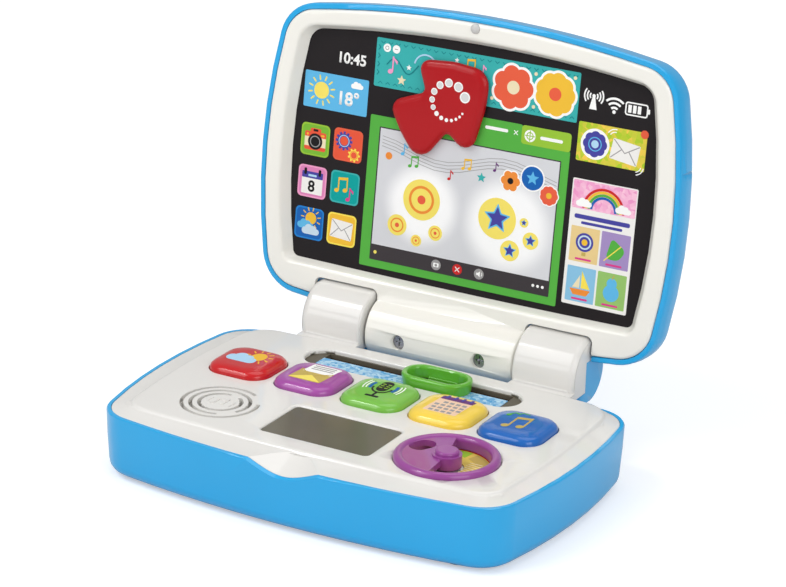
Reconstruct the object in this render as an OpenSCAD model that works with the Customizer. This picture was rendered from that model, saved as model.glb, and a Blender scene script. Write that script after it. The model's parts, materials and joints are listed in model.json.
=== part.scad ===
// Toy laptop computer: a blue clam-shell case with a white deck and a hinged screen lid.
// Millimetres, +Z up, -Y towards the user. The feet stand on z = 0 and the origin is the
// centre of the open laptop's footprint. The base is drawn from the hinge axis forwards,
// and the lid in its own flat frame: X across, Y from the hinge to the top edge, Z out of the screen.

/* [Case] */
// Width of the case and the lid
case_w = 232; // [220:1:244]
// Hinge axis to the rear edge of the case
case_back = 17; // [16.6:0.1:18]
// Height of the case rim above its underside
case_h = 31.6; // [28:0.1:35]
// Height of the rubber feet
foot_h = 1.6; // [1:0.1:4]
// Radius of a rubber foot
foot_r = 6; // [4:0.5:8]
// Thickness of the moulded walls
wall = 2.2; // [1.8:0.1:2.6]
// Rounding between the sides and the underside
bottom_round = 6; // [3:0.5:7]
// How much the sides lean in towards the underside
side_draft = 1.2; // [0:0.1:2]
// Radius of the bow in each side, seen from above
side_bow = 300; // [240:10:420]
// Radius of the bow in the front edge
front_bow = 600; // [450:10:900]
// Radius of the two front corners
front_corner = 21; // [18:0.5:26]
// Radius of the two rear corners of the case
back_corner = 20; // [17:0.5:24]
// Distance in front of the hinge at which the case is widest
widest = 80; // [74:1:88]
// Gap between pieces that are assembled and do not move
fit = 0.2; // [0.1:0.05:0.3]

/* [Deck] */
// Height of the raised field above the rim
deck_rise = 2.2; // [1.6:0.1:3]
// Thickness of the deck plate
deck_t = 2.4; // [2:0.1:2.8]
// Flange between the raised field and the side edge
flange_side = 13.2; // [11:0.2:15]
// Flange between the raised field and the front edge
flange_front = 16.9; // [14:0.1:18]
// Flange between the raised field and the rear edge
flange_back = 3.5; // [3:0.1:5]
// Depth of the skirt that locates the deck in the case
skirt_h = 6; // [4:0.5:8]
// Width of the finger scoop at the front edge
scoop_w = 46; // [38:1:54]
// Depth of the finger scoop at the front edge
scoop_depth = 6.2; // [4:0.2:7]

/* [Hinge] */
// Height of the hinge axis above the raised field
axis_rise = 4.85; // [4.4:0.05:5.4]
// Radius of the lid's hinge barrel and of the case's hinge pods
barrel_r = 15.6; // [15:0.1:16]
// Half the length of the lid's hinge barrel
barrel_half = 41.7; // [38:0.1:43]
// Length of each hinge pod
pod_len = 34; // [30:0.5:36]
// Gap beside a hinge pod
pod_gap = 1.3; // [0.8:0.1:2]
// Radius of the white caps over the pods
cap_r = 18.8; // [18.2:0.1:19.2]
// Radius of the steel hinge pins
pin_r = 4; // [3:0.1:5]
// Running clearance of pins and shafts
run = 0.06; // [0.03:0.01:0.09]
// Distance of the two barrel screws from the middle
barrel_screw_x = 22.6; // [16:0.2:26]

/* [Lid] */
// Angle of the open lid from closed
lid_open = 96.2; // [90:0.2:110]
// Thickness of the lid
lid_t = 16; // [15.5:0.1:18]
// Gap between the frame and the raised field when the lid is closed
close_gap = 0.25; // [0.2:0.05:0.6]
// Distance from the hinge axis to the lid's lower edge
lid_edge = 3.5; // [3:0.1:4.5]
// Width of the blue lip round the frame
lip_w = 2.9; // [2.4:0.1:3.4]
// How far the lip lies behind the frame's face
lip_drop = 1; // [0.6:0.1:1.6]
// Rounding of the lid's rear edge
shell_round = 5; // [3:0.5:6]
// How far the sides of the rear shell swell out behind the lip
side_swell = 1.4; // [0.6:0.1:2]
// Distance from the hinge axis to the handle step in each side
step_v = 107; // [96:1:118]
// Distance from the hinge axis to the top of the notches over the pods
notch_top = 19.7; // [19.5:0.1:20.4]

/* [Screen] */
// Width of the screen
screen_w = 201.2; // [196:0.2:204]
// Distance from the lid's top edge to the top of the screen
screen_margin = 14.2; // [13:0.2:16]
// Distance from the hinge axis to the bottom of the screen
screen_bottom = 25.8; // [25:0.1:28]
// Depth of the screen below the frame's face
recess = 6; // [5.7:0.1:6.4]
// Width of the window that the lamps light
glow_w = 100; // [90:1:104]
// Depth of the lit window
glow_d = 61; // [54:1:64]
// Distance from the hinge axis to the lit window
glow_v = 42; // [40:0.5:44]
// Thickness of the screen panel
panel_t = 1.6; // [1:0.1:2]

/* [Arrow] */
// Thickness of the turning arrow
arrow_t = 4; // [3.4:0.1:4.4]
// Sideways position of the arrow's pivot
arrow_x = -8.9; // [-12:0.5:-4]
// Distance of the arrow's pivot from the hinge axis
arrow_v = 122; // [118:0.5:126]

/* [Buttons] */
// Width of a button
button_w = 33; // [28:0.5:34]
// Distance between button centres
button_pitch = 37.2; // [36.6:0.1:38]
// Distance of the button row from the hinge axis
button_row = 72.6; // [71:0.1:73]
// Height of a button above the raised field
button_rise = 4; // [3:0.1:4.2]
// Corner radius of a button
button_corner = 9.5; // [7:0.5:12]
// Gap round a button
button_gap = 0.5; // [0.4:0.05:0.8]
// Travel of a button
button_travel = 2; // [1:0.1:2.2]

/* [Front row] */
// Distance between the button row and the row of the dial, display and speaker
row_pitch = 46.4; // [45.8:0.1:48]
// Distance of the dial, display and speaker from the front edge
front_row = 46.4; // [45:0.1:48]
// Distance of the dial and of the speaker from the middle
side_place = 61.5; // [58:0.5:63]
// Radius of the dial
dial_r = 25; // [22:0.5:25.5]
// Height of the dial's rim above the raised field
dial_rise = 2.6; // [1.6:0.1:3.4]
// Gap round the dial
dial_gap = 0.6; // [0.4:0.1:1]
// Width of the display
display_w = 58.4; // [50:0.2:60]
// Depth of the display from front to back
display_d = 35; // [30:0.5:37]
// Radius of the speaker grille
grille_r = 20.4; // [18:0.2:21]

/* [Slider] */
// Length of the slider's slot
slot_w = 118.8; // [110:0.2:122]
// Width of the slider's slot
slot_d = 21; // [20:0.1:22]
// Distance of the slot's middle line from the hinge axis
slot_row = 41; // [40:0.1:42]
// Length of the slider's ring
ring_w = 37; // [30:0.5:42]
// Wall of the slider's ring
ring_wall = 3; // [2.5:0.1:4]
// Height of the ring above the raised field
ring_rise = 4.3; // [3:0.1:4.3]
// Place of the ring at rest, from the middle
ring_x = 14; // [-20:0.5:20]

/* [Battery box] */
// Radius of a battery cell
cell_r = 7.1; // [6.9:0.05:7.2]
// Length of a battery cell
cell_len = 50.5; // [49:0.1:51]

/* [Hidden] */
$fn = 64;

shell_blue = [0.20, 0.62, 0.87];
deck_white = [0.90, 0.90, 0.88];
frame_white = [0.97, 0.96, 0.93];
board_green = [0.12, 0.40, 0.24];
steel = [0.72, 0.73, 0.75];
black = [0.10, 0.09, 0.10];

eps = 0.01;
steps = 6;                      // points along each arc of an outline
rim_z = foot_h + case_h;        // top of the blue rim
deck_z = rim_z + deck_rise;     // top of the raised field
ceiling_z = deck_z - deck_t;    // underside of the raised field
axis_z = deck_z + axis_rise;    // hinge axis
floor_z = foot_h + wall;        // inside floor of the case
deck_inset = wall + fit;        // outline of the deck, in from the case

pod_in = barrel_half + pod_gap;
pod_out = pod_in + pod_len;
notch_out = pod_out + pod_gap;
pod_round = 4.5;
cap_front = 5;                  // the cap ends this far in front of the axis
cap_over = 7.3;                 // and its top part starts this far above the axis
cap_tail = 6;                   // and ends this far behind the axis
cap_wall = 2.4;
seat_drop = 1.5;                // the cap's foot sits this far below the rim
cap_foot_y = -case_back - flange_back - 1.5;

case_reach = button_row + row_pitch + front_row; // hinge axis to the front edge
screen_top = case_reach - screen_margin;
lid_face = axis_rise - close_gap;   // face of the frame, in lid coordinates
back_w = lid_face - lid_t;      // rear face of the lid
lip_top = lid_face - lip_drop;
frame_inset = lip_w + fit;
frame_t = 2.4;
skirt_w = lid_face - frame_t - 1.2; // lower edge of the frame's skirt
screen_face = lid_face - recess;
panel_back = screen_face - panel_t;

// Where the open lid's top rear edge ends, which sets the footprint's middle
lid_behind = -(case_reach - shell_round) * cos(lid_open)
    - (back_w + shell_round) * sin(lid_open) + shell_round;
hinge_y = (case_reach - lid_behind) / 2;

front_y = -button_row - row_pitch;  // middle line of the dial, display and speaker
slot_y = -slot_row;
button_y = -button_row;

board_t = 1.6;
board_top = ceiling_z - 7.2;
flange_t = 1.5;
dome_h = 1.4;
sheet_t = 1;

// ---------- outlines made of tangent arcs ----------

// The right-hand crossing of two circles
function meet(c1, r1, c2, r2) =
    let (span = norm(c2 - c1), run_in = (r1 * r1 - r2 * r2 + span * span) / (2 * span),
        rise = sqrt(r1 * r1 - run_in * run_in), ax = (c2 - c1) / span,
        p = c1 + run_in * ax + rise * [-ax[1], ax[0]],
        q = c1 + run_in * ax - rise * [-ax[1], ax[0]])
    p[0] > q[0] ? p : q;

function heading(v) = atan2(v[1], v[0]);

// Points [x, y, radius, angle] along an arc without its last point
function arc(c, r, a, b, n = steps) = [for (i = [0:n - 1]) [c[0], c[1], r, a + (b - a) * i / n]];

// A bowed rounded outline between y = bottom and y = top, clockwise from the middle of the top
function bowed(top, top_r, half_w, mid, side_r, bottom, bottom_r, top_corner, bottom_corner) =
    let (ct = [0, top - top_r], cs = [half_w - side_r, mid], cb = [0, bottom + bottom_r],
        f1 = meet(ct, top_r - top_corner, cs, side_r - top_corner),
        f2 = meet(cb, bottom_r - bottom_corner, cs, side_r - bottom_corner),
        a1 = heading(f1 - ct), a2 = heading(f1 - cs), a3 = heading(f2 - cs), a4 = heading(f2 - cb),
        right = concat(arc(ct, top_r, 90, a1), arc(f1, top_corner, a1, a2, steps + 2),
            arc(cs, side_r, a2, a3), arc(f2, bottom_corner, a3, a4, steps + 2),
            arc(cb, bottom_r, a4, -90), [[cb[0], cb[1], bottom_r, -90]]),
        left = [for (i = [len(right) - 2:-1:1])
            [-right[i][0], right[i][1], right[i][2], 180 - right[i][3]]])
    concat(right, left);

// The outline drawn in by d, counter-clockwise
function inset(k, d) = [for (i = [len(k) - 1:-1:0])
    [k[i][0] + (k[i][2] - d) * cos(k[i][3]), k[i][1] + (k[i][2] - d) * sin(k[i][3])]];

// One ring of a loft, in the lid's frame and in the base's
function lid_ring(k, d, w) = [for (p = inset(k, d)) [p[0], p[1], w]];
function base_ring(k, d, z) =
    let (p = inset(k, d)) [for (i = [len(p) - 1:-1:0]) [p[i][0], -p[i][1], z]];

// A rounded rectangle w by h, counter-clockwise
function soft_box(w, h, r, z, x = 0, y = 0, n = 6) =
    [for (q = [0:3]) for (i = [0:n])
        let (a = q * 90 + 90 * i / n, sx = (q == 0 || q == 3) ? 1 : -1, sy = q < 2 ? 1 : -1)
        [x + sx * (w / 2 - r) + r * cos(a), y + sy * (h / 2 - r) + r * sin(a), z]];

// The skin through rings of equal length, capped, or joined end to end when looped
module loft(rings, looped = false) {
    n = len(rings[0]);
    m = len(rings);
    last = looped ? m - 1 : m - 2;
    sides = [for (i = [0:last]) for (j = [0:n - 1])
        let (a = i * n + j, b = i * n + (j + 1) % n, c = ((i + 1) % m) * n + j,
            d = ((i + 1) % m) * n + (j + 1) % n) each [[a, c, d], [a, d, b]]];
    caps = looped ? [] : [[for (j = [0:n - 1]) j], [for (j = [n - 1:-1:0]) (m - 1) * n + j]];
    polyhedron(points = [for (r = rings) each r], faces = concat(sides, caps), convexity = 6);
}

case_line = bowed(case_reach, front_bow, case_w / 2, widest, side_bow, case_back, 1000,
    front_corner, back_corner);
lid_line = bowed(case_reach, front_bow, case_w / 2, widest, side_bow, lid_edge, 900,
    front_corner, 22);
field_line = bowed(case_reach - flange_front, 1500, case_w / 2 - flange_side, widest, 450,
    case_back + flange_back, 1500, 13, 15);
swell_line = bowed(case_reach, front_bow, case_w / 2 + side_swell, widest, side_bow, lid_edge, 900,
    front_corner, 22);
screen_line = bowed(screen_top, 700, screen_w / 2, widest + 2, 290, screen_bottom, 6000, 9, 3.5);
mouth_line = bowed(screen_top + 2, 700, screen_w / 2 + 3, widest + 2, 290, screen_bottom - 1.4,
    6000, 11, 5);

// ---------- placing and small shapes ----------

module base() translate([0, hinge_y, 0]) children();
module in_lid() translate([0, hinge_y, axis_z]) rotate([180 - lid_open, 0, 0]) children();
module both_sides() {
    children();
    mirror([1, 0, 0]) children();
}

// A rounded rectangle of exact lines and arcs
module soft_square(w, h, r) {
    square([w - 2 * r, h], center = true);
    square([w, h - 2 * r], center = true);
    for (x = [-1, 1], y = [-1, 1]) translate([x * (w / 2 - r), y * (h / 2 - r)]) circle(r);
}

// A drum along +X with rounded ends
module drum(r, len, round_in, round_out)
    rotate([0, 90, 0]) rotate_extrude() intersection() {
        union() {
            translate([0, round_in]) square([r, len - round_in - round_out]);
            square([r - round_in, len]);
            translate([r - round_in, round_in]) circle(round_in);
            square([r - round_out, len]);
            translate([r - round_out, len - round_out]) circle(round_out);
        }
        square([r, len]);
    }

module round_bar_x(r, x0, x1) translate([x0, 0, 0]) rotate([0, 90, 0]) cylinder(r = r, h = x1 - x0);

// A pan-head screw pointing along +Z, its head seated on z = 0
module screw(head_r, head_h, shank_r, shank_len) {
    difference() {
        translate([0, 0, -head_h]) cylinder(r = head_r, h = head_h);
        for (a = [0, 90]) rotate(a) translate([-head_r * 0.6, -0.35, -head_h - eps])
            cube([head_r * 1.2, 0.7, head_h * 0.5]);
    }
    cylinder(r = shank_r, h = shank_len);
}

// ---------- case ----------

side = case_w / 2;
screw_places = [[side - 16, -42], [side - 19, 25.8 - case_reach]];
foot_places = [[side - 31, -34], [side - 33, 19.8 - case_reach]];
board_w = 4 * button_pitch + button_w - 5.8;
tongue_w = display_w + 7.6;     // the board's tongue under the display
tongue_y = front_y - display_d / 2 - 3.5;
board_posts = [[board_w / 2 - 8, button_y + 12.6], [tongue_w / 2 - 5, tongue_y + 3]];
seam_z = floor_z + 16;          // where deck bosses stand on case posts
head_seat_z = floor_z + 6;
box_top = board_top - board_t - 0.5;
box_y = -93;                    // middle of the battery box
box_w = cell_len + 6;
box_d = 6 * cell_r + 3;
door_t = 2;
door_lip = 2;
door_screw_y = box_y - box_d / 2 - 6;
cell_z = foot_h + door_t + cell_r + 0.1;

// The room that a hinge cap takes out of a pod, grown by g, from x0 to x1
module cap_room(g, x0, x1) translate([x0, 0, 0]) rotate([90, 0, 90]) linear_extrude(x1 - x0) {
    translate([-cap_r - 4, -axis_z + rim_z - seat_drop - g])
        square([cap_r + 4 - cap_front + g, cap_r * 2 + 8]);
    translate([-cap_r - 4, cap_over - g])
        square([cap_r + 4 + cap_tail + g, cap_r + 4]);
}

// A blue hinge pod: the rear half of a knuckle and the bearing of a pin
module pod() translate([0, 0, axis_z]) difference() {
    union() {
        translate([pod_in, 0, 0]) drum(barrel_r, pod_len, 1, pod_round);
        // the root that joins the pod to the rear wall
        difference() {
            translate([pod_in, cap_foot_y, -barrel_r])
                cube([pod_len - pod_round, -cap_foot_y, barrel_r]);
            translate([0, 0, -barrel_r - 1]) linear_extrude(barrel_r + 2)
                polygon([for (p = base_ring(case_line, wall - 0.4, 0)) [p[0], p[1]]]);
        }
    }
    cap_room(fit, pod_in - 1, pod_out + 1);
    round_bar_x(pin_r + run / 2, pod_in - 1, pod_out - 6);
}

// The dip in the front rim, a round trough that rises to the foot of the raised field
module finger_scoop() {
    half = scoop_w / 2 + 6;
    slope = atan2(scoop_depth, flange_front - 1);
    n = 16;
    translate([0, -case_reach, rim_z - scoop_depth]) rotate([slope, 0, 0])
        translate([0, (flange_front - 1) / cos(slope), 0]) rotate([90, 0, 0]) linear_extrude(40)
            polygon(concat([for (i = [-n:n])
                [half * i / n, (scoop_depth + 0.5) * (1 - cos(180 * i / n)) / 2]],
                [[half, 30], [-half, 30]]));
}

module lower_case() color(shell_blue) base() difference() {
    union() {
        loft(concat(
            [for (a = [-90:22.5:0]) base_ring(case_line, side_draft + bottom_round * (1 - cos(a)),
                foot_h + bottom_round * (1 + sin(a)))],
            [base_ring(case_line, side_draft * 0.3, foot_h + case_h * 0.6),
             base_ring(case_line, 0, rim_z - 0.7), base_ring(case_line, 0.5, rim_z),
             base_ring(case_line, wall, rim_z), base_ring(case_line, wall, rim_z - skirt_h - 3),
             base_ring(case_line, wall + side_draft, foot_h + bottom_round),
             base_ring(case_line, wall + side_draft + 1.8, floor_z + 1.2),
             base_ring(case_line, wall + side_draft + 4, floor_z)]));
        both_sides() {
            pod();
            for (p = screw_places) translate([p[0], p[1], foot_h + eps])
                cylinder(r = 4.5, h = seam_z - foot_h - eps);
            for (p = board_posts) translate([p[0], p[1], foot_h + 1])
                cylinder(r = 2.5, h = board_top - board_t - foot_h - 1);
        }
        translate([-box_w / 2 - wall, box_y - box_d / 2 - wall, foot_h + 1])
            cube([box_w + 2 * wall, box_d + 2 * wall, box_top - foot_h - 1]);
        translate([0, door_screw_y, foot_h + 1]) cylinder(r = 4.5, h = 10);
        // thicker floor over the battery door's edge and ear
        translate([0, 0, foot_h + 1]) linear_extrude(door_t + wall - 1) door_shape(-1.6);
    }
    both_sides() for (p = screw_places) translate([p[0], p[1], 0]) {
        translate([0, 0, foot_h - 1]) cylinder(r = 3.6, h = head_seat_z - foot_h + 1);
        cylinder(r = 1.6, h = seam_z + 1);
    }
    // battery box, door opening and the door screw's hole
    translate([-box_w / 2, box_y - box_d / 2, foot_h - 1])
        cube([box_w, box_d, box_top - wall - foot_h + 1]);
    translate([0, 0, foot_h - 1]) linear_extrude(door_t + 1) door_shape(0);
    translate([0, door_screw_y, 0]) cylinder(r = 1.45, h = foot_h + 9);
    // seats of the feet
    both_sides() for (p = foot_places) translate([p[0], p[1], foot_h - 1]) cylinder(r = foot_r + fit, h = 1.6);
    finger_scoop();
    // the rear wall makes way for the feet of the hinge caps
    both_sides() translate([pod_in - fit, cap_foot_y - fit, rim_z - seat_drop - fit])
        cube([pod_len + 2 * fit, -case_back - cap_foot_y + fit + 1, 10]);
}

module door_shape(g) {
    w = box_w + 2 * door_lip - 2 * g;
    d = box_d + 2 * door_lip - 2 * g;
    translate([0, box_y]) soft_square(w, d, 3);
    translate([0, door_screw_y]) circle(7 - g);
    translate([0, (door_screw_y + box_y) / 2]) square([14 - 2 * g, box_d / 2 + 6], center = true);
}

module battery_door() color(shell_blue) base() difference() {
    union() {
        translate([0, 0, foot_h]) linear_extrude(door_t) door_shape(fit);
        for (x = [-1, 1]) translate([x * 12 - 3, box_y + box_d / 2 - wall, foot_h + door_t - eps])
            cube([6, wall - fit, 3]);
    }
    translate([0, door_screw_y, foot_h - 1]) cylinder(r = 1.6, h = door_t + 2);
    translate([0, door_screw_y, foot_h - 1]) cylinder(r = 3.6, h = 2);
    for (i = [-3:3]) translate([-12, box_y + 12 + i * 2.4, foot_h - 1]) cube([24, 1, 1.5]);
}

module battery_door_screw() color(steel) base()
    translate([0, door_screw_y, foot_h + 1]) screw(3.2, 0.8, 1.4, 7);

module batteries() color([0.16, 0.16, 0.18]) base() for (i = [-1:1])
    translate([0, box_y + i * (2 * cell_r + 0.4), cell_z]) rotate([0, i == 0 ? 90 : -90, 0])
        translate([0, 0, -cell_len / 2]) {
            cylinder(r = cell_r, h = cell_len - 1);
            translate([0, 0, cell_len - 1 - eps]) cylinder(r = 2.7, h = 1 + eps);
        }

// A bent plate at each end of each cell, with a conical spring on every other one
module battery_contacts() color(steel) base() for (i = [-1:1], s = [-1, 1])
    translate([s * (box_w / 2 - 0.5), box_y + i * (2 * cell_r + 0.4), cell_z]) {
        rotate([0, -90 * s, 0]) {
            translate([0, 0, -0.5]) linear_extrude(0.5) square([11, 11], center = true);
            translate([0, 0, -eps]) cylinder(r1 = 4, r2 = 2.4, h = 2.5);
        }
    }

module feet() color([0.25, 0.26, 0.28]) base() both_sides() for (p = foot_places)
    translate([p[0], p[1], 0]) rotate_extrude() intersection() {
        union() {
            translate([0, 0.8]) square([foot_r, foot_h + 0.6 - 0.8]);
            square([foot_r - 0.8, 1]);
            translate([foot_r - 0.8, 0.8]) circle(0.8);
        }
        square([foot_r, foot_h + 0.6]);
    }

module case_screws() color(steel) base() both_sides() for (p = screw_places)
    translate([p[0], p[1], head_seat_z]) screw(3.2, 2.2, 1.4, seam_z - head_seat_z + 6);

module hinge_pins() color(steel) base() both_sides() translate([0, 0, axis_z])
    round_bar_x(pin_r, barrel_half - 12, pod_out - 6.3);

// ---------- deck ----------

grille_arcs = [[10.2, 95, 415], [14.4, -25, 292], [18.6, 60, 380]];
grille_slot = 1.9;
cup_floor_z = ceiling_z - 4.2;      // underside of the dial's cup
cup_t = 1.6;
dial_floor = cup_floor_z + cup_t;
pivot_r = 4;

module ring_arc(r, width, from, to, h) {
    rotate(from) rotate_extrude(angle = to - from) translate([r - width / 2, 0]) square([width, h]);
    for (a = [from, to]) rotate(a) translate([r, 0, 0]) cylinder(r = width / 2 - 2 * eps, h = h);
}

// The white cap over a pod, hollow and open below
module hinge_cap() {
    translate([0, 0, axis_z]) difference() {
        intersection() {
            translate([pod_in, 0, 0]) drum(cap_r, pod_len, 1.5, pod_round - 1);
            cap_room(0, pod_in, pod_out);
        }
        intersection() {
            round_bar_x(cap_r - cap_wall, pod_in + cap_wall, pod_out - cap_wall);
            translate([pod_in + cap_wall, 0, 0]) rotate([90, 0, 90])
                linear_extrude(pod_len - 2 * cap_wall) {
                    translate([-cap_r, -cap_r]) square([cap_r - cap_front - cap_wall, 2 * cap_r]);
                    translate([-cap_r, cap_over + cap_wall])
                        square([cap_r + cap_tail - cap_wall, cap_r]);
                }
        }
    }
    // the foot that carries the cap on the raised field
    translate([pod_in, cap_foot_y, rim_z - seat_drop])
        cube([pod_len, -case_back - cap_foot_y + 3, deck_rise + seat_drop]);
}

module deck_body() loft([
    base_ring(field_line, 3, ceiling_z),
    base_ring(field_line, 1, rim_z - deck_t + 0.4),
    base_ring(case_line, deck_inset + 1.8, rim_z - deck_t),
    base_ring(case_line, deck_inset + 1.8, rim_z - skirt_h),
    base_ring(case_line, deck_inset, rim_z - skirt_h),
    base_ring(case_line, deck_inset, rim_z - 0.3),
    base_ring(case_line, deck_inset + 0.3, rim_z),
    base_ring(field_line, -1.2, rim_z + 0.6),
    base_ring(field_line, -0.5, deck_z - 0.7),
    base_ring(field_line, 0.2, deck_z - 0.2),
    base_ring(field_line, 1.2, deck_z)]);

module button_places() for (i = [-2:2]) translate([i * button_pitch, button_y, 0]) children();

module upper_deck() color(deck_white) base() difference() {
    union() {
        deck_body();
        both_sides() hinge_cap();
        // pad under the finger scoop
        intersection() {
            translate([-scoop_w / 2 - 6, -case_reach, rim_z - scoop_depth - 2])
                cube([scoop_w + 12, flange_front + 4, scoop_depth + 1.5]);
            translate([0, 0, rim_z - scoop_depth - 3]) linear_extrude(scoop_depth + 3)
                polygon([for (p = base_ring(case_line, deck_inset, 0)) [p[0], p[1]]]);
        }
        // cup of the dial
        translate([side_place, front_y, cup_floor_z])
            cylinder(r = dial_r + dial_gap + 1.6, h = ceiling_z - cup_floor_z + 1);
        translate([side_place, front_y, cup_floor_z - 2]) cylinder(r = 8, h = 3);
        // screw bosses
        both_sides() for (p = screw_places) translate([p[0], p[1], seam_z])
            cylinder(r = 4, h = ceiling_z - seam_z + 1);
    }
    button_places() translate([0, 0, ceiling_z - 1]) linear_extrude(deck_t + 2)
        soft_square(button_w + 2 * button_gap, button_w + 2 * button_gap, button_corner + button_gap);
    // slot, with a rounded edge
    translate([0, slot_y, ceiling_z - 1]) linear_extrude(deck_t + 2)
        soft_square(slot_w, slot_d, slot_d / 2 - eps);
    loft([soft_box(slot_w, slot_d, slot_d / 2 - 0.1, deck_z - 1, 0, slot_y, 10),
        soft_box(slot_w + 0.6, slot_d + 0.6, slot_d / 2, deck_z - 0.4, 0, slot_y, 10),
        soft_box(slot_w + 2, slot_d + 2, slot_d / 2 + 0.9, deck_z + eps, 0, slot_y, 10)]);
    // display opening, bevelled
    translate([0, front_y, ceiling_z - 1]) linear_extrude(deck_t + 2)
        soft_square(display_w, display_d, 2.5);
    loft([soft_box(display_w - 0.2, display_d - 0.2, 2.4, deck_z - 1.2, 0, front_y),
        soft_box(display_w + 0.8, display_d + 0.8, 2.9, deck_z - 0.5, 0, front_y),
        soft_box(display_w + 3, display_d + 3, 4, deck_z + eps, 0, front_y)]);
    // dial opening and its shaft hole
    translate([side_place, front_y, dial_floor]) cylinder(r = dial_r + dial_gap, h = 20);
    translate([side_place, front_y, cup_floor_z - 4]) cylinder(r = pivot_r + run, h = 12);
    // speaker grille
    translate([-side_place, front_y, ceiling_z - 1]) for (a = grille_arcs)
        ring_arc(a[0], grille_slot, a[1], a[2], deck_t + 2);
    // pilot holes of the case screws
    both_sides() for (p = screw_places) translate([p[0], p[1], seam_z - 1])
        cylinder(r = 1.45, h = 8);
    finger_scoop();
}

module speaker_driver() color([0.15, 0.15, 0.16]) base() translate([-side_place, front_y, 0])
    rotate_extrude() polygon([[0, ceiling_z - 1.4], [8, ceiling_z - 3], [18, ceiling_z - 1.2],
        [19, ceiling_z], [21.5, ceiling_z], [21.5, ceiling_z - 2], [18.5, ceiling_z - 2.4],
        [12, ceiling_z - 9], [12, ceiling_z - 15], [0, ceiling_z - 15]]);

module display_window() color([0.40, 0.38, 0.33]) base() translate([0, front_y, 0]) {
    translate([0, 0, ceiling_z - flange_t]) linear_extrude(flange_t)
        soft_square(display_w + 6, display_d + 6, 3);
    translate([0, 0, ceiling_z - eps]) linear_extrude(deck_t - 1 + eps)
        soft_square(display_w - 2 * fit, display_d - 2 * fit, 2.5 - fit);
}

module display_module() color([0.55, 0.60, 0.58]) base() translate([0, front_y, board_top])
    linear_extrude(ceiling_z - flange_t - board_top) soft_square(display_w - 4, display_d - 4, 1);

module main_board() color(board_green) base()
    translate([0, 0, board_top - board_t]) linear_extrude(board_t) {
        translate([-board_w / 2, button_y - button_w / 2 - 1.1]) square([board_w, button_w + 3]);
        translate([-tongue_w / 2, tongue_y]) square([tongue_w, button_y - tongue_y]);
    }

module button_membrane() color([0.80, 0.80, 0.78]) base() {
    translate([1 - board_w / 2, button_y - button_w / 2 - 0.5, board_top])
        cube([board_w - 2, button_w + 1, sheet_t]);
    button_places() translate([0, 0, board_top + sheet_t - eps])
        cylinder(r1 = 6, r2 = 4, h = dome_h + eps);
}

// ---------- slider ----------

track_t = 2;
track_top = ceiling_z;
channel_in_d = 9.4;                 // inside of the channel, front to back
channel_y = slot_y + slot_d / 2 - 5.8;
channel_half = slot_w / 2 - 7.9;    // half the length of the open track
gap_d = 6.2;                        // open track, front to back
gap_y = slot_y + slot_d / 2 - 1.1 - gap_d / 2;
channel_depth = 4.4;
print_t = 0.3;
slide_gap = 0.3;
ring_d = slot_d - 1;
ring_bottom = track_top + print_t + 0.2;
foot_w = 16;                        // the ring's foot in the track
foot_d = 2.8;
foot_y = slot_y + ring_d / 2 - 1 - foot_d / 2;
carriage_w = 22;

module slider_track() color([0.80, 0.80, 0.77]) base() difference() {
    translate([0, slot_y, track_top - track_t]) linear_extrude(track_t)
        soft_square(slot_w + 8, slot_d + 3, 4);
    translate([-channel_half, gap_y - gap_d / 2, track_top - track_t - 1])
        cube([2 * channel_half, gap_d, track_t + 2]);
}

module slider_channel() color([0.32, 0.30, 0.26]) base() difference() {
    translate([-channel_half - 2, channel_y - channel_in_d / 2 - 1.6,
        track_top - track_t - channel_depth - 1.6])
        cube([2 * channel_half + 4, channel_in_d + 3.2, channel_depth + 1.6]);
    translate([-channel_half, channel_y - channel_in_d / 2, track_top - track_t - channel_depth])
        cube([2 * channel_half, channel_in_d, channel_depth + 1]);
}

module track_print() color([0.35, 0.66, 0.86]) base()
    translate([-channel_half, slot_y - slot_d / 2 + 0.8, track_top])
        cube([2 * channel_half, gap_y - gap_d / 2 - slot_y + slot_d / 2 - 1, print_t]);

module slider_ring() color([0.33, 0.62, 0.22]) base() translate([ring_x, slot_y, 0]) {
    top = deck_z + ring_rise;
    r = ring_d / 2;
    h = ring_wall;
    loft(looped = true, rings = [
        soft_box(ring_w - 1.6, ring_d - 1.2, r - 0.7, ring_bottom, 0, 0, 8),
        soft_box(ring_w - 0.4, ring_d - 0.2, r - 0.2, top - 2.2, 0, 0, 8),
        soft_box(ring_w, ring_d, r - 0.1, top - 1.2, 0, 0, 8),
        soft_box(ring_w - 0.6, ring_d - 0.6, r - 0.4, top - 0.4, 0, 0, 8),
        soft_box(ring_w - 1.8, ring_d - 1.8, r - 1, top, 0, 0, 8),
        soft_box(ring_w - 2 * h + 1.6, ring_d - 2 * h + 1.6, r - h + 0.7, top, 0, 0, 8),
        soft_box(ring_w - 2 * h + 0.3, ring_d - 2 * h + 0.3, r - h, top - 0.5, 0, 0, 8),
        soft_box(ring_w - 2 * h, ring_d - 2 * h, r - h - 0.1, top - 1.6, 0, 0, 8),
        soft_box(ring_w - 2 * h, ring_d - 2 * h, r - h - 0.1, ring_bottom, 0, 0, 8)]);
    translate([-foot_w / 2, foot_y - slot_y - foot_d / 2, track_top - track_t - slide_gap])
        cube([foot_w, foot_d, ring_bottom - track_top + track_t + slide_gap + 1]);
}

module slider_carriage() color(black) base()
    translate([ring_x - carriage_w / 2, channel_y - channel_in_d / 2 + slide_gap,
        track_top - track_t - channel_depth + slide_gap])
        cube([carriage_w, channel_in_d - 2 * slide_gap, channel_depth - 2 * slide_gap]);

// ---------- dial ----------

module dial_disc() color([0.93, 0.80, 0.30]) base() translate([side_place, front_y, dial_floor])
    difference() {
        cylinder(r = dial_r + dial_gap - fit, h = 0.8);
        translate([0, 0, -1]) cylinder(r = 8, h = 3);
    }

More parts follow.
